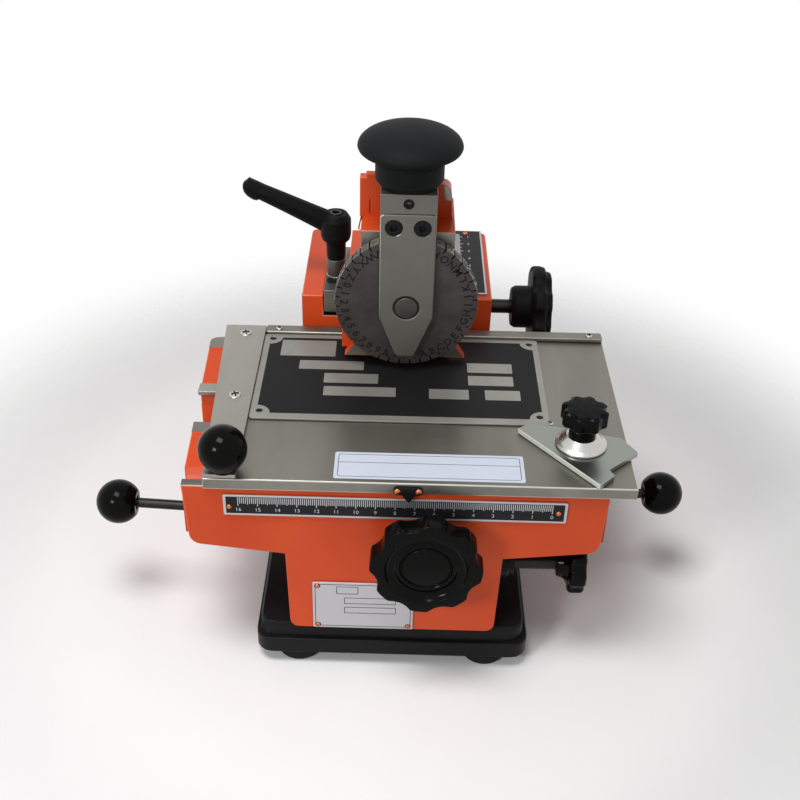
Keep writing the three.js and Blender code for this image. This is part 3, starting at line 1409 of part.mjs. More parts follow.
// The finished machine stands with the middle of its outer size over the origin
const extent = new THREE.Box3().setFromObject(machine);
const middle = extent.getCenter(new THREE.Vector3());
machine.position.set(-middle.x, -middle.y, -extent.min.z);

export default machine;
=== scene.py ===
from math import asin, atan2, cos, exp, log, pi, radians, sin, sqrt, tan

import bmesh
import bpy
from mathutils import Matrix, Vector


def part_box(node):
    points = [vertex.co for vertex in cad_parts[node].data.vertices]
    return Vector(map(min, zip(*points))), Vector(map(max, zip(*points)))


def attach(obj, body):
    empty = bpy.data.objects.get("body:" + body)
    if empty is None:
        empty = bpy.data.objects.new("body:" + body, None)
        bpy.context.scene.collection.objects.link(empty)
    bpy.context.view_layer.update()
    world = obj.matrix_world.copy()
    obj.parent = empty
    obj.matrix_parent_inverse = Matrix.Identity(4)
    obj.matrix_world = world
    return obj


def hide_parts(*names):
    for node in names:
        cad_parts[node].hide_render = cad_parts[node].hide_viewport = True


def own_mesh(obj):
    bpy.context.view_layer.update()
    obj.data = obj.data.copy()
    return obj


# Looks of the nameplate marking machine, piece by piece as it is put together. Meshes are drawn in
# millimetres in the row's frame and turned to metres when a piece is made.
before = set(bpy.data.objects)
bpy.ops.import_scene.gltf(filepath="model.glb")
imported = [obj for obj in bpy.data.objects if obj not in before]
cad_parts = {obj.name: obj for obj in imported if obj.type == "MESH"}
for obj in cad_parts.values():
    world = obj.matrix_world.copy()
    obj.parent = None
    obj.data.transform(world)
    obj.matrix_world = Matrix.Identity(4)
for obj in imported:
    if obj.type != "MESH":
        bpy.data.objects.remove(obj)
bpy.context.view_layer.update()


# Rubber feet. Each is a turned plug of black nitrile rubber with a rounded foot edge, held up into
# the base casting by a pan-head screw sunk in its underside.
MM = 0.001


def colour(code):
    """A colour written as an sRGB hex value, as the linear colour that a shader takes."""
    parts = [int(code[k:k + 2], 16) / 255 for k in (1, 3, 5)]
    return [p / 12.92 if p <= 0.04045 else ((p + 0.055) / 1.055) ** 2.4 for p in parts] + [1]


def settle(thing, **settings):
    for name, value in settings.items():
        setattr(thing, name, value)
    return thing


def add_node(owner, kind, feeds=None, **settings):
    """Adds a node; feeds gives a socket either its value or another node's output to link from."""
    made = settle(owner.node_tree.nodes.new("ShaderNode" + kind), **settings)
    for socket, value in (feeds or {}).items():
        if isinstance(value, bpy.types.NodeSocket):
            owner.node_tree.links.new(value, made.inputs[socket])
        else:
            made.inputs[socket].default_value = value
    return made


def new_material(name):
    """An empty material, and the place on the object in metres to pattern it by."""
    material = bpy.data.materials.new(name)
    material.use_nodes = True
    material.node_tree.nodes.clear()
    return material, add_node(material, "TexCoord").outputs["Object"]


def close_material(material, shader):
    add_node(material, "OutputMaterial", {"Surface": shader.outputs[0]})
    return material


def per_size(size_mm):
    """Scale of a pattern whose repeats are this many millimetres wide."""
    return 1 / (size_mm * MM)


def make_finish(name, plain=None, metal=0, rough=0.5, shine=0.5, tones=None, gloss=None,
                grain=None, waves=None, lines=None, bands=None, spread=(0, 1), ragged=0.5,
                pebbled=False):
    """A finish, in which noise sets what isn't plain. Each pattern is the noise's width in mm and
    detail, then for tones two colours, for gloss two roughnesses, and for grain and for waves over
    it a strength and a depth in mm. Lines pulls out gloss and grain along an axis and bands the
    tones, whose colours lie at spread; ragged breaks up the noise; pebbled makes grain cells."""
    material, place = new_material(name)
    feeds = {"Metallic": metal, "Roughness": rough, "Specular IOR Level": shine}
    if plain:
        feeds["Base Color"] = colour(plain)
    for socket, pattern, pull in (
        ("Base Color", tones, bands), ("Roughness", gloss, lines), ("Normal", grain, lines),
        ("Normal", waves, None),
    ):
        if not pattern:
            continue
        width, detail, first, second = pattern
        start = place
        if pull:
            start = add_node(material, "Mapping", {"Vector": place, "Scale": pull}).outputs[0]
        kind = "TexVoronoi" if pebbled and socket == "Normal" else "TexNoise"
        noise = add_node(material, kind, {
            "Vector": start, "Scale": per_size(width), "Detail": detail, "Roughness": ragged,
        }).outputs[0]
        if socket == "Base Color":
            made = add_node(material, "ValToRGB", {"Fac": noise})
            for end, position, code in zip(made.color_ramp.elements, spread, (first, second)):
                settle(end, position=position, color=colour(code))
        elif socket == "Roughness":
            made = add_node(material, "MapRange", {
                "Value": noise, "To Min": first, "To Max": second,
            })
        else:
            made = add_node(material, "Bump", {
                "Height": noise, "Strength": first, "Distance": second * MM,
                **({"Normal": feeds[socket]} if socket in feeds else {}),
            })
        feeds[socket] = made.outputs[0]
    return close_material(material, add_node(material, "BsdfPrincipled", feeds))


def skin(shape, rings, capped=False):
    """Faces from each ring of points to the next, where a ring may be a single point."""
    for low, high in zip(rings, rings[1:]):
        for k in range(max(len(low), len(high))):
            corners = []
            for ring, i in ((low, k), (low, k + 1), (high, k + 1), (high, k)):
                if ring[i % len(ring)] not in corners:
                    corners.append(ring[i % len(ring)])
            if len(corners) > 2:
                shape.faces.new(corners)
    if capped:
        shape.faces.new(rings[0][::-1])
        shape.faces.new(rings[-1])


def ring_points(x, y, radius, count=48):
    turns = [2 * pi * k / count for k in range(count)]
    return [(x + radius * cos(turn), y + radius * sin(turn)) for turn in turns]


def rounded(corners, steps=5, closed=False):
    """Points of a profile or an outline whose corners, given as (a, b, radius), are rounded off."""
    points = []
    for i, corner in enumerate(corners):
        here = Vector(corner[:2])
        radius = corner[2] if len(corner) > 2 else 0
        if radius == 0 or (not closed and i in (0, len(corners) - 1)):
            points.append(tuple(here))
            continue
        back, ahead = [
            (Vector(corners[(i + k) % len(corners)][:2]) - here).normalized() for k in (-1, 1)
        ]
        half = back.angle(ahead) / 2
        centre = here + (back + ahead).normalized() * (radius / sin(half))
        first, end = [
            atan2(*(here + leg * (radius / tan(half)) - centre).yx)
            for leg in (back, ahead)
        ]
        sweep = (end - first + pi) % (2 * pi) - pi
        for k in range(steps + 1):
            turn = first + sweep * k / steps
            points.append((centre.x + radius * cos(turn), centre.y + radius * sin(turn)))
    return points


def lathe(profile, count=64, steps=5):
    """A turned shape round Z, in mm: the profile is (radius, height, rounding) from its foot up."""
    shape = bmesh.new()
    skin(shape, [
        [shape.verts.new((x, y, z)) for x, y in ring_points(0, 0, radius, count if radius else 1)]
        for radius, z in rounded(profile, steps)
    ])
    bmesh.ops.remove_doubles(shape, verts=shape.verts, dist=1e-5)
    return shape


def gather(*parts):
    """Several shapes as one: each part is (shape, the number of its finish, or None where its faces
    carry their own, and its place where it has one)."""
    whole = bmesh.new()
    for shape, finish, *places in parts:
        for place in places:
            shape.transform(place)
        if finish is not None:
            for face in shape.faces:
                face.material_index = finish
        carried = bpy.data.meshes.new("carried")
        shape.to_mesh(carried)
        shape.free()
        whole.from_mesh(carried)
        bpy.data.meshes.remove(carried)
    return whole


def at(x, y, z, turn=None):
    return Matrix.Translation((x, y, z)) @ (turn or Matrix.Identity(4))


def add_object(name, data):
    made = bpy.data.objects.new(name, data)
    bpy.context.scene.collection.objects.link(made)
    return made


def make_object(name, shape, finishes, smooth=35):
    """A shape in millimetres as an object in metres, smooth up to an angle in degrees."""
    shape.transform(Matrix.Scale(MM, 4))
    bmesh.ops.recalc_face_normals(shape, faces=shape.faces)
    for face in shape.faces:
        face.smooth = True
    mesh = bpy.data.meshes.new(name)
    shape.to_mesh(mesh)
    shape.free()
    mesh.set_sharp_from_angle(angle=radians(smooth))
    for finish in finishes:
        mesh.materials.append(finish)
    return add_object(name, mesh)


def make_piece(name, shape, finishes, body, stands_for=(), place=None, smooth=35, even=False):
    """Ends a shape as a piece in its place that rides on a body, with evened shading if asked."""
    if place is not None:
        shape.transform(place)
    made = make_object(name, shape, finishes, smooth)
    if even:
        settle(made.modifiers.new("evened", "WEIGHTED_NORMAL"), keep_sharp=True)
    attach(made, body)
    if stands_for:
        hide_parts(*stands_for)
    return made


# Nitrile rubber, compression moulded: dull black with a faint dusty bloom, roughness near 0.8.
foot_rubber = make_finish(
    "moulded_rubber", rough=0.8, shine=0.2, tones=(4, 5, "#141414", "#1E1E1D"),
    grain=(0.35, 2, 0.3, 0.1),
)
# Blued steel screw: dark oxide over turned steel, half glossy.
# The same finish also stands as painted shade in holes and in screw slots.
oxide_steel_and_shade = make_finish(
    "oxide_steel_and_painted_shade", metal=0.9, rough=0.38, tones=(3, 6, "#1F1E1D", "#32302E"),
)
FOOT_X, FRONT_FOOT_Y, REAR_FOOT_Y = 52.5, -96.15, 117.85
for end, y in (("front", FRONT_FOOT_Y), ("rear", REAR_FOOT_Y)):
    for side, x in (("left", -FOOT_X), ("right", FOOT_X)):
        plug = lathe([
            (3.5, 3.2), (3.5, 0.4, 0.3), (4.4, 0, 0.3), (12.6, 0, 1.8), (13.2, 2.6, 1.2),
            (11.8, 8.2, 0.4), (0, 8.2),
        ])
        screw = lathe([(0, 1.6), (2, 1.5, 0.4), (3.1, 2.4, 0.4), (3.1, 3.4), (0, 3.4)], 24)
        make_piece(f"foot_{end}_{side}_rubber", gather((plug, 0), (screw, 1)),
                   [foot_rubber, oxide_steel_and_shade], "frame", [f"foot_{end}_{side}"],
                   at(x, y, 0))


# Base casting. A shallow stepped tray of cast iron with broken edges, stood on the feet and bolted
# up into the column from below; sprayed satin black.
def casting(node, soft, rounds=2, keep=None):
    """A CAD casting in millimetres whose outer edges, or those that are kept, are softened."""
    shape = bmesh.new()
    shape.from_mesh(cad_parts[node].data)
    shape.transform(Matrix.Scale(1 / MM, 4))
    bmesh.ops.remove_doubles(shape, verts=shape.verts, dist=1e-3)
    bmesh.ops.dissolve_limit(
        shape, angle_limit=radians(0.6), verts=shape.verts, edges=shape.edges,
    )
    chosen = [
        edge for edge in shape.edges
        if len(edge.link_faces) == 2 and edge.is_convex and edge.calc_length() > 0.3
        and edge.calc_face_angle() > radians(50) and (keep is None or keep(edge))
    ]
    bmesh.ops.bevel(
        shape, geom=chosen, offset=soft, offset_type="OFFSET", segments=rounds, profile=0.5,
        affect="EDGES", clamp_overlap=False, material=-1,
    )
    return shape


# Satin black enamel sprayed on cast iron: low waves of the casting and a fine orange peel under a
# half-gloss skin.
black_enamel = make_finish(
    "satin_black_enamel", "#18181A", shine=0.1, gloss=(14, 2, 0.3, 0.46), grain=(1.4, 2, 0.35, 0.1),
    waves=(14, 2, 0.3, 0.6),
)
make_piece("base_tray", casting("base", 0.9, 3), [black_enamel], "frame",
           ["base"], even=True)


# Body casting. Grey iron, sand cast, its ways milled and ground bright after the orange enamel was
# sprayed; the bed, the T-shaped apron and the hollow pedestal are one piece.
#
# Orange machine enamel, semi gloss: small orange peel about 1.5 mm wide, slow colour drift from
# the hand spraying and gloss that drifts with it.
orange_enamel = make_finish(
    "orange_machine_enamel", shine=0.2, tones=(45, 4, "#CE471C", "#DA5226"),
    gloss=(45, 4, 0.28, 0.42), grain=(1.5, 2, 0.25, 0.1), spread=(0.3, 0.7),
)
# The same enamel at an outer edge, where handling has rubbed through to iron in small spots.
rubbed_edge, place = new_material("rubbed_enamel_edge")
rub = add_node(rubbed_edge, "TexNoise", {
    "Vector": place, "Scale": per_size(5), "Detail": 6, "Roughness": 0.7,
})
bare = add_node(rubbed_edge, "ValToRGB", {"Fac": rub.outputs["Fac"]})
bare.color_ramp.elements[0].position = 0.62
bare.color_ramp.elements[1].position = 0.66
enamel = add_node(rubbed_edge, "BsdfPrincipled", {
    "Base Color": colour("#E2602F"), "Roughness": 0.34, "Specular IOR Level": 0.3,
})
iron = add_node(rubbed_edge, "BsdfPrincipled", {
    "Base Color": colour("#8A8580"), "Metallic": 1, "Roughness": 0.45,
})
close_material(rubbed_edge, add_node(rubbed_edge, "MixShader", {
    0: bare.outputs["Color"], 1: enamel.outputs[0], 2: iron.outputs[0],
}))
# Ground steel: a grey metal with straight grinding marks along X, drawn 0.3 mm apart and 40 mm
# long, coarser than real grit marks so that they show, and cloudy bands across them from handling.
# The guide bar, the guide rail and the side stop are lighter than the table's top.
ground_steel, lighter_steel = [
    make_finish(name, metal=1, tones=(35, 5, darker, lighter), gloss=(0.3, 3, 0.3, 0.52),
                grain=(0.3, 3, 0.12, 0.1), lines=(0.008, 1, 1), bands=(1, 0.2, 1),
                spread=(0.3, 0.72))
    for name, darker, lighter in (("surface_ground_steel", "#706E66", "#8B8980"),
                                  ("lighter_ground_steel", "#8F8D85", "#A8A69E"))
]


def middle_of(edge):
    return (edge.verts[0].co + edge.verts[1].co) / 2


def outer_edge(edge):
    """An edge of the apron's front or of the bed's two ends."""
    at_front = any(f.normal.y < -0.9 and f.calc_center_median().y < -110 for f in edge.link_faces)
    place = middle_of(edge)
    return at_front or (abs(place.x) > 100 and place.z > 90 and place.y > -100)


def sprayed(name, shape, body, milled, patch, above):
    """A sprayed casting as a piece. The faces that milled picks, by their normal and middle, are
    bare, and slant edge faces above a height and under a patch in square mm are rubbed."""
    for face in shape.faces:
        middle = face.calc_center_median()
        slant = max(abs(c) for c in face.normal) < 0.96
        if milled(face.normal, middle):
            face.material_index = 1
        elif face.calc_area() < patch and slant and middle.z > above:
            face.material_index = 2
    make_piece(name, shape, [orange_enamel, ground_steel, rubbed_edge], body,
               [f"{name}_casting"], even=True)


WAY_TOP = 127.1
sprayed("body", casting("body_casting", 0.7, keep=outer_edge), "frame",
        lambda way, middle: way.z > 0.9 and middle.z > WAY_TOP - 0.2, 400, 90)


def dress(node, finish, edge=0, turned=False):
    """A CAD node that stays: its finish, a weld, its flat faces merged unless it is turned and,
    where asked, softened edges in mm.
    """
    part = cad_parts[node]
    for held in part.material_slots:
        held.material = finish
    settle(part.modifiers.new("weld", "WELD"), merge_threshold=1e-6)
    if not turned:
        settle(part.modifiers.new("flat", "DECIMATE"), decimate_type="DISSOLVE",
               angle_limit=radians(0.6))
    if edge:
        settle(part.modifiers.new("broken_edges", "BEVEL"), width=edge * MM, segments=2,
               limit_method="ANGLE", angle_limit=radians(40), harden_normals=True)


# Guide rail. A ground steel strip let into the bed behind the channel, pinned from below.
dress("guide_rail", lighter_steel, edge=0.3)


# Ruler plate. A thin anodised aluminium plate on the apron, its field printed black round bare
# millimetre marks and centimetre numbers, held by a copper rivet at each end.
def solid_of(drawn):
    """The mesh of a drawn outline or text; the drawing itself is cleared away."""
    holder = bpy.data.objects.new("drawn", drawn)
    mesh = bpy.data.meshes.new_from_object(holder)
    shape = bmesh.new()
    shape.from_mesh(mesh)
    bpy.data.objects.remove(holder)
    bpy.data.curves.remove(drawn)
    bpy.data.meshes.remove(mesh)
    return shape


def plate(outlines, low, high, edge=0.15, rounds=2):
    """A flat piece between two heights with softened rims; outlines after the first are holes."""
    drawn = settle(bpy.data.curves.new("drawn", "CURVE"), dimensions="2D", fill_mode="BOTH",
                   extrude=(high - low) / 2 - edge, bevel_depth=edge, bevel_resolution=rounds,
                   offset=-edge)
    for outline in outlines:
        line = drawn.splines.new("POLY")
        line.points.add(len(outline) - 1)
        for point, (a, b) in zip(line.points, outline):
            point.co = (a, b, 0, 1)
        line.use_cyclic_u = True
    shape = solid_of(drawn)
    bmesh.ops.remove_doubles(shape, verts=shape.verts, dist=1e-4)
    shape.transform(Matrix.Translation((0, 0, (low + high) / 2)))
    return shape


def lettering(words, size, low, high, bold=0):
    """Letters or numbers of a plain face, centred on Z, between two heights, thickened by bold."""
    shape = solid_of(settle(
        bpy.data.curves.new("drawn", "FONT"), body=words, size=size, offset=bold,
        extrude=(high - low) / 2, align_x="CENTER", align_y="CENTER", resolution_u=2,
    ))
    shape.transform(Matrix.Translation((0, 0, (low + high) / 2)))
    return shape


def bars(boxes, low, high):
    """Thin printed or etched bars between two heights, each given as (x0, x1, y0, y1)."""
    shape = bmesh.new()
    for x0, x1, y0, y1 in boxes:
        outline = ((x0, y0), (x1, y0), (x1, y1), (x0, y1))
        rings = [[shape.verts.new((x, y, z)) for x, y in outline] for z in (low, high)]
        skin(shape, rings, capped=True)
    return shape


def box_outline(x0, x1, y0, y1, corner=0):
    return rounded([(x0, y0, corner), (x1, y0, corner), (x1, y1, corner), (x0, y1, corner)],
                   closed=True)


def frame_line(x0, x1, y0, y1, width, corner, low, high):
    """A thin printed border round a box."""
    inner = box_outline(x0 + width, x1 - width, y0 + width, y1 - width, max(corner - width, 0.01))
    return plate([box_outline(x0, x1, y0, y1, corner), inner], low, high, edge=0.001, rounds=0)


def tick_length(mark, ten, five, one):
    return ten if mark % 10 == 0 else five if mark % 5 == 0 else one


def rivet(name, radius, height, body, place):
    """A round-headed copper drive rivet on a face, with a thin black disc of painted shade round
    it.
    """
    turns = [pi / 2 * k / 8 for k in range(8)]
    dome = [(radius * cos(t), height * sin(t)) for t in turns] + [(0, height)]
    # The black disc just wider than the head is painted shade round the rivet's foot.
    ring = [(0, 0), (radius + 0.35, 0), (radius + 0.35, 0.05), (0, 0.05)]
    make_piece(name, gather((lathe(dome, 32), 0), (lathe(ring, 32), 1)),
               [rivet_copper, ink_and_shade], body, place=place)


# Clear anodised aluminium sheet, fine brushed: pale, even, half matt.
anodised_sheet = make_finish(
    "anodised_aluminium_sheet", "#BEBEC2", metal=0.5, gloss=(0.25, 2, 0.36, 0.52),
    lines=(0.02, 1, 1),
)
# Black printing ink on the plates: dense, half matt, slightly uneven in gloss. The same black
# also stands as painted shade round rivets, in slits and gaps, and in the type wheel's notches.
ink_and_shade = make_finish("black_ink_and_painted_shade", "#1B1B1D", shine=0.16, gloss=(2.5, 4, 0.42, 0.58))
# Copper rivets, tumbled: warm bright metal gone a little brown.
rivet_copper = make_finish(
    "tumbled_copper", metal=1, rough=0.3, tones=(1.2, 4, "#A34C30", "#D98762"),
)
FACE_FRONT = Matrix.Rotation(pi / 2, 4, "X")
PLATES_FRONT = -112.75
INK, PRINT = 0.03, 0.06
on_front = at(0, PLATES_FRONT, 0, FACE_FRONT)
make_piece("ruler_sheet", plate([box_outline(-87.6, 87.6, 109.65, 122.75, 0.8)], -0.8, 0),
           [anodised_sheet], "frame", ["ruler_plate"], on_front)
make_piece("ruler_field", plate([box_outline(-86.2, 86.2, 110.9, 121.7, 0.4)], -0.02, INK,
                                edge=0.01, rounds=0),
           [ink_and_shade], "frame", place=on_front)
ZERO_X, TICKS_TOP = 80, 121.4
ticks = [(ZERO_X - mark - 0.22, ZERO_X - mark + 0.22,
          TICKS_TOP - tick_length(mark, 5.6, 4.6, 4), TICKS_TOP) for mark in range(161)]
numbers = [(lettering(str(number), 3.2, INK, PRINT), 0, at(ZERO_X - 10 * number, 113.4, 0))
           for number in range(17)]
make_piece("ruler_marks", gather((bars(ticks, INK, PRINT), 0), *numbers), [anodised_sheet],
           "frame", place=on_front)
for side, x, z in (("left", -84.6, 115.2), ("right", 83.2, 116.1)):
    rivet(f"ruler_rivet_{side}", 1.4, 0.9, "frame", at(x, PLATES_FRONT, z, FACE_FRONT))


# Data plate. A bare anodised plate riveted low on the pedestal, with a printed border and three
# empty boxes.
make_piece("data_sheet", plate([box_outline(-43.25, 11.25, 30.75, 64.15, 0.8)], -0.8, 0),
           [anodised_sheet], "frame", ["data_plate"], on_front)
make_piece("data_lines", gather(*[
    (frame_line(*box, 0.35, corner, 0, INK), 0) for box, corner in (
        ((-42, 10, 32, 62.9), 0.6), ((-30.4, -18.6, 56, 61.4), 0.1),
        ((-26.2, 1.8, 48.9, 53.4), 0.1), ((-26.2, 1.8, 41.9, 46.5), 0.1),
    )
]), [ink_and_shade], "frame", place=on_front)
for k, (x, z) in enumerate(((-40.6, 61.6), (-40.6, 32.9), (8.6, 32.9), (8.6, 61.6))):
    rivet(f"data_rivet_{k + 1}", 1.3, 0.8, "frame", at(x, PLATES_FRONT, z, FACE_FRONT))


# Handwheel and its feed shaft. The wheel is moulded in black thermoset with eight finger flutes
# and a ring-shaped recess; a bright steel shaft in two bronze bushes carries the pinion.
def fluted(profile, radius, lobes, flute_radius, flute_depth, inside, phase=0, per_lobe=20):
    """A moulded hand knob round Z: the profile is (radius, height), and the flutes fade to round
    between the rim and the radius called inside."""
    reach = radius - flute_depth + flute_radius
    pitch = 2 * pi / lobes
    crest = 0.35

    def rim(turn):
        off = (turn - phase + pitch / 2) % pitch - pitch / 2
        across = reach * sin(off)
        if abs(across) > flute_radius * 0.999:
            return radius
        wall = reach * cos(off) - sqrt(flute_radius ** 2 - across ** 2)
        if abs(wall - radius) >= 12 * crest:
            return min(radius, wall)
        return -crest * log(exp(-radius / crest) + exp(-wall / crest))

    shape = bmesh.new()
    rings = []
    count = lobes * per_lobe
    for far, height in profile:
        share = max(0, min(1, (far - inside) / (radius - flute_depth - inside)))
        share = share * share * (3 - 2 * share)
        ring = []
        for k in range(count if far else 1):
            turn = 2 * pi * k / count
            r = far + share * (rim(turn) - radius)
            ring.append(shape.verts.new((r * cos(turn), r * sin(turn), height)))
        rings.append(ring)
    skin(shape, rings)
    return shape


# Phenolic moulding off a polished die: deep black, smooth gloss, a trace of orange peel and of
# handling marks about 3 mm wide.
phenolic = make_finish(
    "moulded_phenolic", "#0A0A09", shine=0.07, gloss=(3, 5, 0.08, 0.16), grain=(2.2, 2, 0.12, 0.2),
)
# Bright turned steel: fine tool marks, clean and fairly mirror-like.
bright_steel = make_finish("bright_turned_steel", "#C2C1BC", metal=1, gloss=(0.5, 3, 0.18, 0.34))
# Tin bronze bush stock, turned: brown gold, half glossy.
bush_bronze = make_finish(
    "turned_tin_bronze", metal=1, rough=0.34, tones=(2, 4, "#8E6435", "#B88A50"),
)
handwheel_profile = rounded([
    (0, -9), (12.5, -9, 0.6), (12.5, 0, 0.8), (29, 0, 1.4), (29, 11, 1), (21.7, 11, 0.5),
    (21.1, 10.1, 0.3),
], 6)[:-1] + [
    (20.9, 9.7), (20.3, 8.9), (19.4, 8.1), (18.2, 7.7), (17, 7.8), (16, 8.25), (15.2, 8.75),
    (14.5, 8.95), (13.9, 8.75), (13.6, 8.1), (13.2, 7.7), (12.7, 7.75), (12.4, 8.3), (12.1, 8.7),
    (11.6, 8.85), (0, 8.85),
]
make_piece("handwheel_moulding",
           fluted(handwheel_profile, 29, 8, 11.5, 2.8, 22.5, radians(16.5), 24), [phenolic],
           "feed_handwheel", ["handwheel"], at(16.6, -122.85, 93.5, FACE_FRONT),
           smooth=50)
dress("handwheel_shaft", bright_steel, turned=True)
dress("feed_pinion", oxide_steel_and_shade)
for bush in ("front_bush", "rear_bush"):
    dress(bush, bush_bronze, turned=True)


# Spacing knob. A seven-flute star knob of the same moulding on a blued cross shaft, which runs
# in a black iron boss screwed to the pedestal's side.
FACE_RIGHT = Matrix.Rotation(pi / 2, 4, "Y")
spacing_line = at(0, -92.15, 64.5, FACE_RIGHT)
spacing_profile = rounded([
    (0, 0), (7.4, 0, 0.6), (8.4, 3, 1.5), (10.5, 6, 1.5), (16.5, 6, 2.2), (16.5, 15, 2.4),
    (9, 15, 1), (7.6, 14.2, 0.6), (0, 14.2),
])
make_piece("spacing_star", fluted(spacing_profile, 16.5, 7, 6, 2.2, 10, pi / 2), [phenolic],
           "spacing_adjuster", ["spacing_knob"], spacing_line @ at(0, 0, 89),
           smooth=50)
make_piece("spacing_rod", lathe([
    (0, 41.6), (4, 41.6, 0.4), (4, 94.4, 0.4), (0, 94.4),
], 40), [oxide_steel_and_shade], "spacing_adjuster", ["spacing_shaft"], spacing_line)
make_piece("spacing_flange", lathe([
    (4.3, 57.6), (9, 57.6), (9, 61.8, 0.6), (7.4, 62.6, 0.6), (7.4, 65.6, 0.5), (4.3, 65.6),
    (4.3, 57.6),
], 48), [black_enamel], "frame", ["spacing_boss"], spacing_line)


# Feed levers. Each is a blued steel rod in a forked bracket on the pedestal's side, ended by a
# 25 mm ball knob of glossy black moulding that is screwed on.
def ball_knob(name, body, node, place):
    """A 25 mm ball round Z with a flat seat at its foot and a small countersink."""
    seat = asin(-0.82)
    turns = [seat + (pi / 2 - seat) * k / 22 for k in range(22)]
    profile = [(0, -8.6), (3.6, -8.6), (4.2, -10.1), (6.2, -10.25)]
    profile += [(12.5 * cos(t), 12.5 * sin(t)) for t in turns] + [(0, 12.5)]
    make_piece(name, lathe(profile), [polished_phenolic], body, [node], place,
               smooth=60)


# Polished phenolic ball: mirror gloss that catches the lamps in small sharp spots.
polished_phenolic = make_finish(
    "polished_phenolic", "#070706", shine=0.07, gloss=(2.5, 5, 0.07, 0.2),
)
PIVOT_X, BALL_END_X, TILT = 72.6, 156, radians(3)
reach = (BALL_END_X - PIVOT_X) / cos(TILT)
for name, side, y, z in (("left_lever", -1, -63.15, 71), ("right_lever", 1, -33.15, 63)):
    along = Matrix.Rotation(-TILT, 4, "Y")
    if side < 0:
        along = Matrix.Rotation(pi, 4, "Z") @ along
    pivot = at(side * PIVOT_X, y, z)
    hub = lathe([(2.8, -6), (7, -6, 0.6), (7, 6, 0.6), (2.8, 6), (2.8, -6)], 48)
    rod = lathe([(0, 6), (2.8, 6), (2.8, reach - 11.4), (2.2, reach - 10.9), (2.2, reach - 9),
                 (0, reach - 9)], 40)
    make_piece(f"{name}_arm", gather((hub, 0, along @ FACE_FRONT), (rod, 0, along @ FACE_RIGHT)),
               [oxide_steel_and_shade], name, [f"{name}_rod"], pivot)
    ball_knob(f"{name}_knob", name, f"{name}_ball", pivot @ along @ at(reach, 0, 0, FACE_RIGHT))
    dress(f"{name}_fork", oxide_steel_and_shade, edge=0.5)
    make_piece(f"{name}_pivot", lathe([
        (0, -11), (2.5, -11, 0.3), (2.5, 10.6), (4, 10.6, 0.3), (4, 13.1, 0.6), (0, 13.1),
    ], 32), [bright_steel], "frame", [f"{name}_pin"], pivot @ FACE_FRONT)


# Table. A plate of ground steel with a broken rim, its left end cut a little askew; the guide bar
# and the feed rack are screwed under it, the side stop, the back fence, the pointer and a ball
# knob sit on it.
TABLE_TOP = 134.0
CLAMP_X, CLAMP_Y = 95.8, -81.15
BALL_X, BALL_Y = -86.7, -107.15
stud_hole = ring_points(CLAMP_X, CLAMP_Y, 3.3, 32)

# The table's rim: the same steel where the milled corner was broken by a stone, so it shines.
# It also serves as a painted highlight on faces turned to the lamp at the left front.
stoned_rim_and_highlight = make_finish("stoned_steel_rim_and_painted_highlight", "#BDBCB6", metal=1, gloss=(6, 5, 0.2, 0.42))
table_outline = rounded([
    (-97.1, -114.15, 0.8), (121.4, -114.15, 0.8), (121.4, 32.65, 0.8), (-104.6, 32.65, 0.8),
], 4, True)
table_shape = plate([table_outline, stud_hole, ring_points(BALL_X, BALL_Y, 3.8, 32)],
                    127.4, TABLE_TOP, edge=0.6, rounds=1)
# Bevels take the stoned rim finish; faces turned to the left front take it as a painted highlight.
for face in table_shape.faces:
    if 0.15 < abs(face.normal.z) < 0.95 or (face.normal.x < -0.25 and face.normal.y < -0.25):
        face.material_index = 1
make_piece("table_top", table_shape, [ground_steel, stoned_rim_and_highlight], "table",
           ["table_plate"], even=True)
dress("table_guide", lighter_steel, edge=0.4)
dress("table_rack", oxide_steel_and_shade)
STRIP_TOP = 136.3
make_piece("side_strip", plate([rounded([
    (-96.8, -113.6, 0.8), (-80.1, -113.6, 0.8), (-80.1, 32.35, 0.8), (-104.25, 32.35, 0.8),
], 4, True)], 134.05, STRIP_TOP, edge=0.35, rounds=1), [lighter_steel], "table",
           ["side_stop"], even=True)
dress("back_fence", ground_steel)
for name, wide, x, y, z in (
    ("rear", 3.4, -91.5, 22.85, STRIP_TOP), ("middle", 3.4, -89.5, -42.65, STRIP_TOP),
    ("fence_left", 2, -72, 28.6, 136.7), ("fence_right", 2, 113.5, 28.6, 136.7),
    ("plate", 2, 82, -59.15, TABLE_TOP),
):
    head = lathe([(wide, 0), (wide, 0.45, 0.4), (0, 1.25)], 40, 6)
    far, near = wide * 0.62, wide * 0.12
    # The cross slot is drawn as two dark bars on the head: painted shade of the slot.
    slot_shade_bars = bars([(-far, far, -near, near), (-near, near, -far, far)], 0.85, 1.3)
    turn = Matrix.Rotation(radians(20 + 3 * x), 4, "Z")
    make_piece(f"stop_screw_{name}", gather((head, 0), (slot_shade_bars, 1)),
               [bright_steel, oxide_steel_and_shade], "table", place=at(x, y, z, turn))

# Pointer. A blacked brass tongue on the table's front edge, held by two copper rivets.
make_piece("pointer_tongue", plate([rounded([
    (6.75, 122.4, 0.4), (10, 127.4, 0.6), (13.7, 127.6, 2.1), (13.8, 132.2, 2.1),
    (-1.2, 132.2, 2.1), (-1.1, 127.6, 2.1), (3.3, 127.4, 0.6),
], 4, True)], 0, 1, edge=0.2), [black_enamel], "table", ["pointer"],
           at(0, -114.45, 0, FACE_FRONT))
for side, x in (("left", 0.9), ("right", 11.7)):
    rivet(f"pointer_rivet_{side}", 1.7, 1.1, "table", at(x, -115.3, 129.9, FACE_FRONT))

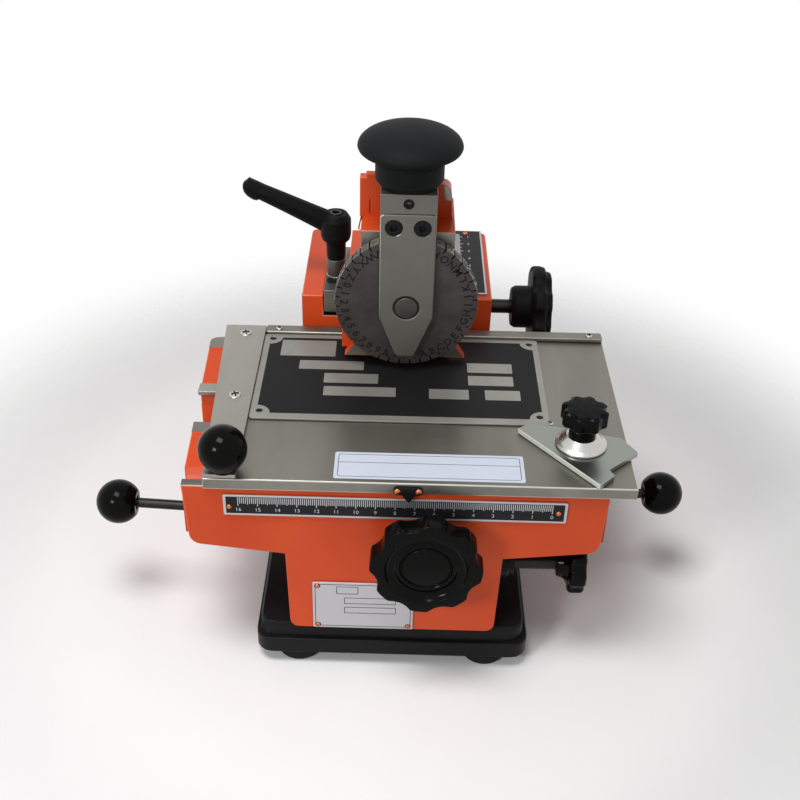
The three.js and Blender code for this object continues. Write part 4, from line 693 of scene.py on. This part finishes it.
# Ball knob on the table's corner, by which the plate is pushed along; it stands on a black collar.
ball_knob("table_knob", "table", "table_ball", at(BALL_X, BALL_Y, 147.6))
make_piece("table_knob_collar", lathe([
    (0, 127.8), (3.4, 127.8), (3.4, STRIP_TOP), (7.4, STRIP_TOP), (7.4, 136.9, 0.3),
    (5.4, 137.3, 0.3), (4.4, 137.3), (3.4, 137.3), (3.4, 147), (0, 147),
], 48), [oxide_steel_and_shade], "table", ["table_ball_stud"], at(BALL_X, BALL_Y, 0))

# Label. A blank strip of white vinyl stuck near the table's front edge, with a printed border and
# one dividing line.
label_vinyl = make_finish("white_label_vinyl", rough=0.42, tones=(8, 3, "#CAD1E0", "#D3D9E6"))
blue_ink = make_finish("blue_black_print", "#5A6172", gloss=(1.5, 2, 0.4, 0.5))
LABEL_TOP, LABEL_PRINT = 0.16, 0.18
make_piece("blank_label", plate([box_outline(-31.5, 65.3, -111.15, -89.15, 1.2)], 0.01, LABEL_TOP,
                                edge=0.05),
           [label_vinyl], "table", place=at(0, 0, TABLE_TOP), even=True)
make_piece("label_lines", gather(
    (frame_line(-29.7, 63.5, -109.5, -90.9, 0.4, 1.6, LABEL_TOP - 0.02, LABEL_PRINT), 0),
    (bars([(-29.4, 63.2, -97.9, -97.5)], LABEL_TOP - 0.02, LABEL_PRINT), 0),
), [blue_ink], "table", place=at(0, 0, TABLE_TOP))


# Sample nameplate. Etched aluminium 0.8 mm thick, black field inside a bare border, with bare
# boxes for the figures that the machine stamps; scalloped corners carry its four fixing holes.
SHEET_TOP = 135.1
holes = [(-74.8, 19.55), (77, 19.55), (-74.8, -54.95), (77, -54.95)]

# The sheet's bare metal: acid-etched aluminium, grey and half matt, stained in slow clouds.
etched_metal = make_finish(
    "etched_bare_aluminium", metal=0.5, rough=0.42, tones=(12, 5, "#83827B", "#A09F98"),
)
# Filled etching: black lacquer in the sheet's etched ground, greyer and flatter than printing ink.
etch_lacquer = make_finish(
    "etched_ground_lacquer", "#171718", shine=0.12, gloss=(0.6, 3, 0.4, 0.6),
    grain=(0.6, 3, 0.2, 0.1),
)
make_piece("sample_sheet", plate(
    [box_outline(-79.8, 82, -62.35, 24.55, 2)] + [ring_points(x, y, 1.9, 24) for x, y in holes],
    134.3, SHEET_TOP, edge=0.12,
), [etched_metal], "table", ["sample_plate"], even=True)
# Dark discs in the sheet's fixing holes are painted shade in the holes.
make_piece("sample_hole_shade", gather(*[
    (lathe([(0, 134.35), (1.85, 134.35), (1.85, 134.4), (0, 134.4)], 24), 0, at(x, y, 0))
    for x, y in holes
]), [oxide_steel_and_shade], "table")


def scalloped(x0, x1, y0, y1, bite, steps=8):
    """A box whose corners are bitten out by quarter rounds."""
    points = []
    for x, y, first in ((x0, y0, 90), (x1, y0, 180), (x1, y1, 270), (x0, y1, 0)):
        for k in range(steps + 1):
            turn = radians(first - 90 * k / steps)
            points.append((x + bite * cos(turn), y + bite * sin(turn)))
    return points


field = [scalloped(-76.3, 78.6, -57.2, 20.6, 7.2)] + [box_outline(*box, 0.5) for box in (
    (-69, -37, 0.85, 18.15), (-57, -20, -12.85, -3.65), (-42, -11.4, -26.45, -16.65),
    (-41.5, -1.3, -39.15, -29.95), (39.3, 65, -12.55, -2.55), (39.4, 64.9, -25.65, -15.85),
    (17.2, 39.3, -39.95, -30.25), (48.3, 67.9, -39.85, -30.15),
)]
make_piece("sample_field", plate(field, -0.01, INK, edge=0.005, rounds=0), [etch_lacquer],
           "table", place=at(0, 0, SHEET_TOP))


# Corner clamp. A pointed plate of polished steel that a black star knob presses on the work
# through a domed washer; the stud is screwed into the table.
#
# Polished mild steel: nearly a mirror, with fine straight polishing lines and some handling haze.
polished_steel = make_finish(
    "polished_mild_steel", "#93958F", metal=1, gloss=(0.4, 3, 0.26, 0.32), lines=(1, 0.03, 1),
)
# A paler, duller steel for the jaw's sides that face left, towards the lamp: a painted highlight.
jaw_side_highlight = make_finish(
    "jaw_side_painted_highlight", metal=0.25, rough=0.45, tones=(1.5, 5, "#C4C8C0", "#DCDFD8"),
)
clamp_outline = rounded([
    (63.8, -68.65, 0.8), (101.8, -115.65, 0.8), (110.1, -106.95, 0.8), (107.9, -102.35, 0.8),
    (124.8, -87.15, 0.8), (117.84, -75.15, 3), (71.48, -62.65, 3),
], 6, True)
clamp_outline = [(min(x, 124.55), max(y, -115.2)) for x, y in clamp_outline]
jaw_shape = plate([clamp_outline, stud_hole], 134.3, 137.3, edge=0.45)
# Sides facing left take the paler steel as a painted highlight.
for face in jaw_shape.faces:
    if face.normal.z < 0.95 and face.normal.x < -0.1:
        face.material_index = 1
make_piece("clamp_jaw", jaw_shape, [polished_steel, jaw_side_highlight], "corner_clamp",
           ["clamp_plate"], even=True)
make_piece("clamp_domed_washer", lathe([
    (3.3, 137.6), (13.4, 137.6, 0.2), (13.4, 138.7, 0.5), (11.4, 139.9, 2), (8, 143.6, 0.8),
    (3.3, 143.6), (3.3, 137.6),
], 64, 6), [bright_steel], "clamp_star_knob", ["clamp_washer"],
           at(CLAMP_X, CLAMP_Y, 0))
star_profile = rounded([
    (0, 143.7), (7.1, 143.7, 0.4), (6.9, 149.6, 1.2), (8.4, 151.2, 1.2), (12.3, 151.4, 1.2),
    (12.3, 159.4, 1), (10.4, 160.3, 1), (0, 160.7),
], 6)
make_piece("clamp_star", fluted(star_profile, 12.3, 8, 5, 1.5, 8), [phenolic], "clamp_star_knob",
           ["clamp_knob"], at(CLAMP_X, CLAMP_Y, 0), smooth=50)
dress("clamp_stud", oxide_steel_and_shade, turned=True)


# Arm casting. The orange column behind the bed whose two cheeks guide the head's slide; it is
# sprayed like the body, and the cheeks' inner faces are milled.
def arm_milled(way, middle):
    """The cheeks' inner faces and the floor between them."""
    inside = middle.z > 139 and -47 < middle.x < 31 and abs(middle.x + 8) > 20
    return (abs(way.x) > 0.9 and inside) or (way.z > 0.9 and 138 < middle.z < 141)


arm_shape = casting("arm_casting", 0.9, keep=lambda edge: middle_of(edge).y < 110)
sprayed("arm", arm_shape, "frame", arm_milled, 260, 148)
dress("head_shaft_bush", bush_bronze, turned=True)


# Arm scale. A black printed aluminium strip on the right cheek with a bare border, millimetre
# marks along its left side and centimetre numbers, riveted at its rear end.
SCALE_TOP = 154.1
SCALE_END_Y, SCALE_LEFT = 51.45, 32.2
make_piece("arm_scale_strip", plate([
    box_outline(30.6, 52.2, 46.05, 131.05, 0.8),
], 153.3, SCALE_TOP), [anodised_sheet], "frame", ["arm_scale"])
make_piece("arm_scale_field", plate([box_outline(30.7, 51.1, 47, 130.3, 0.3)], -0.01, INK,
                                    edge=0.005, rounds=0),
           [ink_and_shade], "frame", place=at(0, 0, SCALE_TOP))
ticks = [(SCALE_LEFT, SCALE_LEFT + tick_length(mark, 7.4, 6.4, 5.6),
          SCALE_END_Y + mark - 0.3, SCALE_END_Y + mark + 0.3) for mark in range(75)]
numbers = [(lettering(str(8 - number), 3.6, INK, PRINT), 0, at(43.2, SCALE_END_Y + 10 * number, 0))
           for number in range(1, 8)]
make_piece("arm_scale_marks", gather((bars(ticks, INK, PRINT), 0), *numbers), [anodised_sheet],
           "frame", place=at(0, 0, SCALE_TOP))
rivet("arm_scale_rivet", 1.7, 0.9, "frame", at(41.6, 127, SCALE_TOP))


# Head drive. A seven-flute knob with a stepped face on a blued shaft; its pinion runs the rack
# under the head's slide. Its nylon, like the clamping handle's, is matt from the die's texture.
glass_nylon = make_finish(
    "glass_filled_nylon", "#121214", shine=0.06, gloss=(9, 3, 0.42, 0.56),
    grain=(0.7, 0, 0.25, 0.1), pebbled=True,
)
head_line = at(0, 73.85, 130, FACE_RIGHT)
head_profile = rounded([
    (0, 0), (11.8, 0, 0.5), (13.3, 2.5, 1.2), (13.3, 12, 1), (26.5, 12, 3), (26.5, 20, 2.6),
    (23.4, 20.6, 0.8), (22.9, 24, 1.8), (14, 24, 0.8), (13, 22.6, 0.8), (0, 22.6),
], 6)
make_piece("head_drive_knob",
           fluted(head_profile, 26.5, 7, 10, 3, 15, pi / 2 + pi / 14, 24), [glass_nylon],
           "head_drive", ["head_knob"], head_line @ at(0, 0, 70), smooth=50)
make_piece("head_drive_shaft", lathe([
    (0, -1.7), (4.4, -1.7, 0.4), (4.4, 81.5, 0.4), (0, 81.5),
], 40), [oxide_steel_and_shade], "head_drive", ["head_shaft"], head_line)
dress("head_pinion", oxide_steel_and_shade)


# Carriage. The orange head casting that slides between the cheeks: its front face is milled for
# the ram, the nose below it shades the work, and the tower behind covers the ram's guide.
sprayed("carriage", casting("carriage_casting", 0.5), "carriage",
        lambda way, middle: way.y < -0.9 and middle.y < -1 and middle.z > 159, 260, 150)

# Narrow saw slit in the tower, left of the ram, drawn as a thin black bar of painted shade, and
# the lug's upper corner, milled bare of paint.
tower_face = at(0, 15.85, 0, FACE_FRONT)
make_piece("tower_slit_shade", bars([(-18.35, -17.85, 219.4, 228)], 0, INK), [ink_and_shade], "carriage",
           place=tower_face)
make_piece("tower_bare_corner", plate([rounded([
    (21.6, 237, 0.3), (22.9, 228.2, 0.8), (26.4, 228, 0.3), (26.1, 232.8, 3),
    (24.3, 236.2, 3),
], 5, True)], 0, 0.06, edge=0.02, rounds=1), [ground_steel], "carriage",
           place=tower_face)
dress("head_rack", oxide_steel_and_shade)


# Return spring. Six turns of bright 1.2 mm wire with closed ends, standing in the carriage's slot;
# the slide bar's foot presses it shorter as the ram goes down.
def coil(turns, radius, wire, length, end_rise, sides=10, steps=36):
    """Round wire wound up Z from 0 to the length, its first and last turns nearly touching."""
    shape = bmesh.new()
    pitch = (length - 2 * wire - 2 * end_rise) / (turns - 2)
    rings = []
    for k in range(turns * steps + 1):
        turn = k / steps
        ends = min(turn, 1) + max(turn - turns + 1, 0)
        rise = end_rise * ends + pitch * min(max(turn - 1, 0), turns - 2)
        across = Matrix.Rotation(2 * pi * turn, 4, "Z") @ at(radius, 0, wire + rise)
        rings.append([
            shape.verts.new(across @ Vector((x, 0, z))) for x, z in ring_points(0, 0, wire, sides)
        ])
    skin(shape, rings, capped=True)
    return shape


spring_low, spring_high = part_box("ram_spring")
spring_length = (spring_high[2] - spring_low[2]) / MM
spring_x, spring_y = [(a + b) / 2 / MM for a, b in zip(spring_low[:2], spring_high[:2])]
spring = make_piece("return_spring", coil(6, 3.6, 0.6, spring_length, 1.5), [bright_steel],
                    "carriage", ["ram_spring"],
                    at(spring_x, spring_y, spring_low[2] / MM), smooth=60)
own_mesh(spring)


# Clamping lever. An adjustable handle of black glass-filled nylon on a grey post; it pulls a
# ground steel shoe down on the slide's edge.
def ridged_bar(stations):
    """A moulded bar with a ridge along each side; stations are (run, drop, width, height)."""
    section = rounded([
        (-0.45, 1, 0.2), (0.45, 1, 0.2), (1, 0.2, 0.12), (0.8, -0.55, 0.2), (0.4, -1, 0.2),
        (-0.4, -1, 0.2), (-0.8, -0.55, 0.2), (-1, 0.2, 0.12),
    ], 3, True)
    shape = bmesh.new()
    skin(shape, [
        [shape.verts.new((-run, a * wide / 2, b * high / 2 - drop)) for a, b in section]
        for run, drop, wide, high in stations
    ], capped=True)
    return shape


lever_axis = at(-39.7, 61.85, 0)
hub = lathe([
    (3.3, 168.4), (5.6, 168.4, 0.4), (6, 178.6, 0.3), (8.5, 181.2, 0.8), (9.2, 184.4, 0.6),
    (9, 185, 0.2), (9.2, 185.6, 0.3), (9.1, 193.9, 1), (6.9, 197.4, 0.6), (4.6, 197.6, 0.3),
    (4.4, 195.4), (0, 195.4),
], 64, 4)
socket_cap = lathe([
    (0, 196.4), (2, 196.4), (2.2, 198, 0.2), (3.9, 198, 0.4), (4.2, 195.2),
], 32)
bar = ridged_bar([
    (2, 0, 9, 13), (8, 0, 9.4, 12.9), (20, 0, 8.8, 11.7), (36, 0.1, 8.4, 10.3),
    (47.9, 0.3, 8.4, 9.3), (48.4, 0.8, 8.4, 10.3), (50.4, 1.1, 8.5, 10.9), (52.8, 1, 8.6, 10.7),
    (55, 0.8, 8.6, 10.2), (57, 0.3, 8.4, 9.2), (58.1, -0.2, 8, 8.2), (59, 0.3, 7, 5.1),
    (59.6, 0.2, 6, 2.8), (59.9, 0.1, 4.6, 1.1),
])
bar_place = at(0, 0, 189.2, Matrix.Rotation(atan2(26, 54), 4, "Y"))
make_piece("clamping_handle", gather((hub, 0), (bar, 0, bar_place), (socket_cap, 1)),
           [glass_nylon, oxide_steel_and_shade], "clamp_lever", ["clamp_lever_handle"],
           lever_axis, smooth=40)

# Grey zinc-plated post of the lever; the shoe under it is ground at its sides, its top takes the
# post's darker grey as painted shade, and a flat dark disc on its top is painted shade.
zinc_plate_and_shade = make_finish(
    "zinc_plated_steel_and_painted_shade", metal=0.85, rough=0.42, tones=(1.5, 4, "#4C4D4D", "#666867"),
)
post = lathe([
    (0, 139.7), (3, 139.7), (3, 156.8), (5.6, 156.8, 0.4), (5.6, 168.1, 0.4), (3, 168.1),
    (3, 191.8), (0, 191.8),
], 48)
foot_rim = lathe([
    (5.5, 156.8), (5.9, 156.8), (5.9, 157), (5.6, 157.2), (5.5, 157.2), (5.5, 156.8),
], 48)
make_piece("lever_post", gather((post, 0), (foot_rim, 1)), [zinc_plate_and_shade, bright_steel],
           "clamp_lever", ["clamp_lever_stud"], lever_axis)
shoe_shape = casting("clamp_shoe", 0.3)
# Top faces take the darker grey: painted shade.
for face in shoe_shape.faces:
    face.material_index = 1 if face.normal.z > 0.7 else 0
# A flat dark disc on the shoe's top is painted shade for a hole.
hole_shade_disc = lathe([(0, 156.5), (4.2, 156.5), (4.2, 156.56), (0, 156.56)], 40)
make_piece("shoe_block", gather((shoe_shape, None), (hole_shade_disc, 2, at(-41.3, 53.6, 0))),
           [ground_steel, zinc_plate_and_shade, oxide_steel_and_shade], "frame", ["clamp_shoe"],
           even=True)


# Ram. A ground steel block with its slide bar, a bevelled front plate held by two socket screws,
# and the fixed axle that the type wheel turns on.
#
# The same ground steel as the table's, but its marks run upright, and it is darker.
upright_steel = make_finish(
    "ground_steel_upright", metal=0.6, tones=(25, 5, "#605E58", "#75736B"),
    gloss=(0.3, 3, 0.32, 0.5), lines=(1, 1, 0.012),
)
# The axle is turned and dark; a black ring sunk in the gap round it is painted shade.
pin_steel = make_finish(
    "dark_turned_axle", metal=0.7, rough=0.4, tones=(4, 5, "#3F3D39", "#55524D"),
)
HEAD_X, WHEEL_Z, SCREW_Z, PLATE_FRONT = 3.2, 178, 225.9, -15.65
screws = (("left", -4.4), ("right", 10.8))
make_piece("ram_slide_block", casting("ram_block", 0.35), [upright_steel], "ram",
           ["ram_block"], even=True)
front_outline = rounded([
    (-11.7, 233.8, 2.4), (-11.7, 172, 7.4), (-1.8, 146.6, 2.4), (8.2, 146.6, 2.4),
    (18.1, 172, 7.4), (18.1, 233.8, 2.4),
], 8, True)
front_shape = plate(
    [front_outline, ring_points(HEAD_X, WHEEL_Z, 7.1)]
    + [ring_points(x, SCREW_Z, 4.36) for side, x in screws], 0, 5, edge=0.8,
)
# Only the front bevels on the plate's left, turned to the lamp, take the bright rim finish: a
# painted highlight.
for face in front_shape.faces:
    on_left = face.normal.x < -0.15 and face.calc_center_median().x < 1.0
    if 0.15 < face.normal.z < 0.95 and on_left:
        face.material_index = 1
make_piece("ram_front_plate", front_shape, [upright_steel, stoned_rim_and_highlight], "ram",
           ["front_plate"], at(0, -10.65, 0, FACE_FRONT), even=True)
for side, x in screws:
    head = plate([ring_points(0, 0, 4.3, 40), ring_points(0, 0, 2.1, 6)], -1.6, 0.5, edge=0.35)
    floor_disc = lathe([(0, -1.6), (2.3, -1.6), (2.3, -1.3), (0, -1.3)], 6)
    shank = lathe([(0, -15), (2.5, -15), (2.5, -1.6), (0, -1.6)], 24)
    make_piece(f"socket_screw_{side}", gather((head, 0), (floor_disc, 0), (shank, 0)),
               [black_enamel], "ram", [f"plate_screw_{side}"],
               at(x, PLATE_FRONT, SCREW_Z, FACE_FRONT))
set_screw = plate([ring_points(0, 0, 2.9, 32), ring_points(0, 0, 1.4, 6)], -0.8, 0.15, edge=0.1)
make_piece("ram_set_screw", set_screw, [black_enamel], "ram",
           place=at(HEAD_X, PLATE_FRONT, 239.9, FACE_FRONT))
pin = lathe([(0, -24.4), (7, -24.4), (7, -5), (6.3, -4.9), (6.3, 0.35, 0.5), (0, 0.35)])
gap_shade_ring = lathe([(6.2, -1.2), (7.15, -1.2), (7.15, -0.5), (6.2, -0.5), (6.2, -1.2)])
make_piece("wheel_pin", gather((pin, 0), (gap_shade_ring, 1)), [pin_steel, ink_and_shade], "ram",
           ["wheel_axle"], at(HEAD_X, PLATE_FRONT, WHEEL_Z, FACE_FRONT))


# Palm button. A mushroom of black rubber-coated moulding screwed into the ram's top: dull and
# very smooth, a shade lighter than the gloss knobs.
soft_coat = make_finish(
    "soft_touch_coating", "#18191A", shine=0.07, gloss=(14, 4, 0.5, 0.66), grain=(0.6, 2, 0.2, 0.1),
)
DOME_RADIUS, DOME_FOOT, DOME_RISE = 27.5, 266, 10.5
button_profile = [(0, 236.2), (3.5, 236.2), (3.5, 245.5)] + rounded([
    (3.5, 245.5), (15.8, 245.5, 0.8), (18.2, 248.6, 1.4), (18.2, 258.2, 0.6), (17.6, 259.2, 0.5),
    (19.3, 260.8, 1), (26.8, 264.1, 2.2), (DOME_RADIUS, DOME_FOOT, 0.8),
], 6)[1:]
for k in range(1, 16):
    turn = pi / 2 * k / 16
    button_profile.append((DOME_RADIUS * cos(turn) ** 0.9,
                           DOME_FOOT + DOME_RISE * sin(turn)))
button_profile.append((0, DOME_FOOT + DOME_RISE))
make_piece("palm_mushroom", lathe(button_profile, 96), [soft_coat], "ram",
           ["palm_button"], at(HEAD_X, -0.85, 0), smooth=50)


# Type wheel. A blacked steel disc whose rim carries forty hardened slugs, each with a raised
# character; the same characters are engraved and filled on the disc's face to be read by.
wheel_steel = make_finish(
    "blacked_wheel_steel", metal=0.6, tones=(12, 6, "#3E3836", "#504A48"), gloss=(12, 6, 0.4, 0.55),
    spread=(0.3, 0.75), ragged=0.6,
)
# Hardened type steel, the blacking rubbed off the slugs' printing faces.
slug_steel = make_finish(
    "hardened_type_steel", metal=0.5, rough=0.42, tones=(1.2, 4, "#4A4844", "#8C8982"),
)
CHARACTERS = "ABCDEFGHIJKLMNOPQRSTUVWXYZ0123456789&-/."
FIRST_AT, PITCH = -72, 9
SLUG_OUTLINE = (
    (-4.2, 36.2), (-3.75, 39.3), (-1.9, 39.35), (0, 39.4), (1.9, 39.35), (3.75, 39.3), (4.2, 36.2),
)
FACE_TOP = 7.9
rim_line = []
for k in range(len(CHARACTERS)):
    for off, radius in SLUG_OUTLINE:
        turn = radians(FIRST_AT + PITCH * k + off)
        rim_line.append((radius * cos(turn), radius * sin(turn)))
disc = plate([rim_line, ring_points(0, 0, 7.4)], 0, FACE_TOP, edge=0.18, rounds=1)
# The slugs' flanks, the notches between them and the bore are black: painted shade in the gaps.
for face in disc.faces:
    if abs(face.normal.z) < 0.5:
        face.material_index = 1 if face.calc_center_median().to_2d().length > 38.9 else 2
wheel_parts = [(disc, None)]
stand = at(39.35, 0, FACE_TOP / 2, FACE_RIGHT)
read = at(34.3, 0, FACE_TOP, Matrix.Rotation(pi / 2, 4, "Z"))
for k, character in enumerate(CHARACTERS):
    turn = Matrix.Rotation(radians(FIRST_AT + PITCH * k), 4, "Z")
    raised = lettering(character, 4.6, 0, 0.6)
    raised.transform(Matrix.Scale(-1, 4, (1, 0, 0)))
    wheel_parts.append((raised, 1, turn @ stand))
    wheel_parts.append((lettering(character, 6.2, 0, INK, bold=0.14), 2, turn @ read))
make_piece("character_wheel", gather(*wheel_parts), [wheel_steel, slug_steel, ink_and_shade], "wheel",
           ["type_wheel"], at(HEAD_X, -2.25, WHEEL_Z, FACE_FRONT), smooth=40,
           even=True)


# Studio: a plain pale floor that keeps the machine's shadow, a white surround seen by the camera
# and by gloss, one soft lamp near the left front and a wider one overhead.
floor_material, place = new_material("pale_floor")
speck = add_node(floor_material, "TexNoise", {"Vector": place, "Scale": per_size(30)})
tone = add_node(floor_material, "ValToRGB", {"Fac": speck.outputs["Fac"]})
tone.color_ramp.elements[0].color = colour("#FAFAFA")
tone.color_ramp.elements[1].color = colour("#FDFDFD")
floor_face = add_node(floor_material, "BsdfPrincipled", {
    "Base Color": tone.outputs["Color"], "Roughness": 0.9, "Specular IOR Level": 0,
})
distance = add_node(floor_material, "VectorMath", {0: place}, operation="LENGTH")
fading = add_node(floor_material, "MapRange", {
    "Value": distance.outputs["Value"], "From Min": 0.2, "From Max": 0.42,
}, interpolation_type="SMOOTHSTEP")
surround_seen = add_node(floor_material, "BsdfTransparent")
close_material(floor_material, add_node(floor_material, "MixShader", {
    0: fading.outputs["Result"], 1: floor_face.outputs[0], 2: surround_seen.outputs[0],
}))
make_object("floor", bars([(-700, 700, -700, 700)], -0.4, 0), [floor_material])

world = bpy.data.worlds.new("surround")
bpy.context.scene.world = world
world.use_nodes = True
world.node_tree.nodes.clear()
seen = add_node(world, "LightPath").outputs
either = add_node(world, "Math", {0: seen["Is Camera Ray"], 1: seen["Is Glossy Ray"]},
                  operation="MAXIMUM")
any_ray = add_node(world, "Math", {0: either.outputs[0], 1: seen["Is Transmission Ray"]},
                   operation="MAXIMUM")
lit = add_node(world, "Background", {"Color": colour("#FFFFFF"), "Strength": 0.3})
shown = add_node(world, "Background", {"Color": colour("#FFFFFF"), "Strength": 1})
chosen = add_node(world, "MixShader", {
    0: any_ray.outputs[0], 1: lit.outputs[0], 2: shown.outputs[0],
})
add_node(world, "OutputWorld", {"Surface": chosen.outputs[0]})

# Two soft boxes, aimed at the machine's middle.
for name, place, width, depth, watts in (
    ("left_front_softbox", (-0.45, -0.68, 0.52), 0.18, 0.15, 2.4),
    ("overhead_softbox", (-0.2, -0.35, 1.15), 0.44, 0.36, 7.2),
):
    lamp = settle(bpy.data.lights.new(name, "AREA"), shape="RECTANGLE", size=width, size_y=depth,
                  energy=watts)
    aim = Vector((0, 0, 0.12)) - Vector(place)
    settle(add_object(name, lamp), location=place, rotation_mode="QUATERNION",
           rotation_quaternion=aim.to_track_quat("-Z", "Y"))

# Camera: where the photograph was taken from, as fitted to its edges; a long lens slightly shifted.
camera = add_object("camera", settle(
    bpy.data.cameras.new("camera"), sensor_width=36, lens=51.858, shift_x=0.01216,
    shift_y=0.00155, clip_start=0.01,
))
back = Vector((0.00648, -0.82375, 0.56692)).normalized()
right = Vector((0.99965, 0.01997, 0.01758))
right = (right - back * right.dot(back)).normalized()
turned = Matrix((right, back.cross(right), back)).transposed()
camera.matrix_world = Matrix.Translation((-0.00002, -0.56465, 0.49385)) @ turned.to_4x4()
bpy.context.scene.camera = camera

bpy.context.scene.view_settings.view_transform = "Standard"
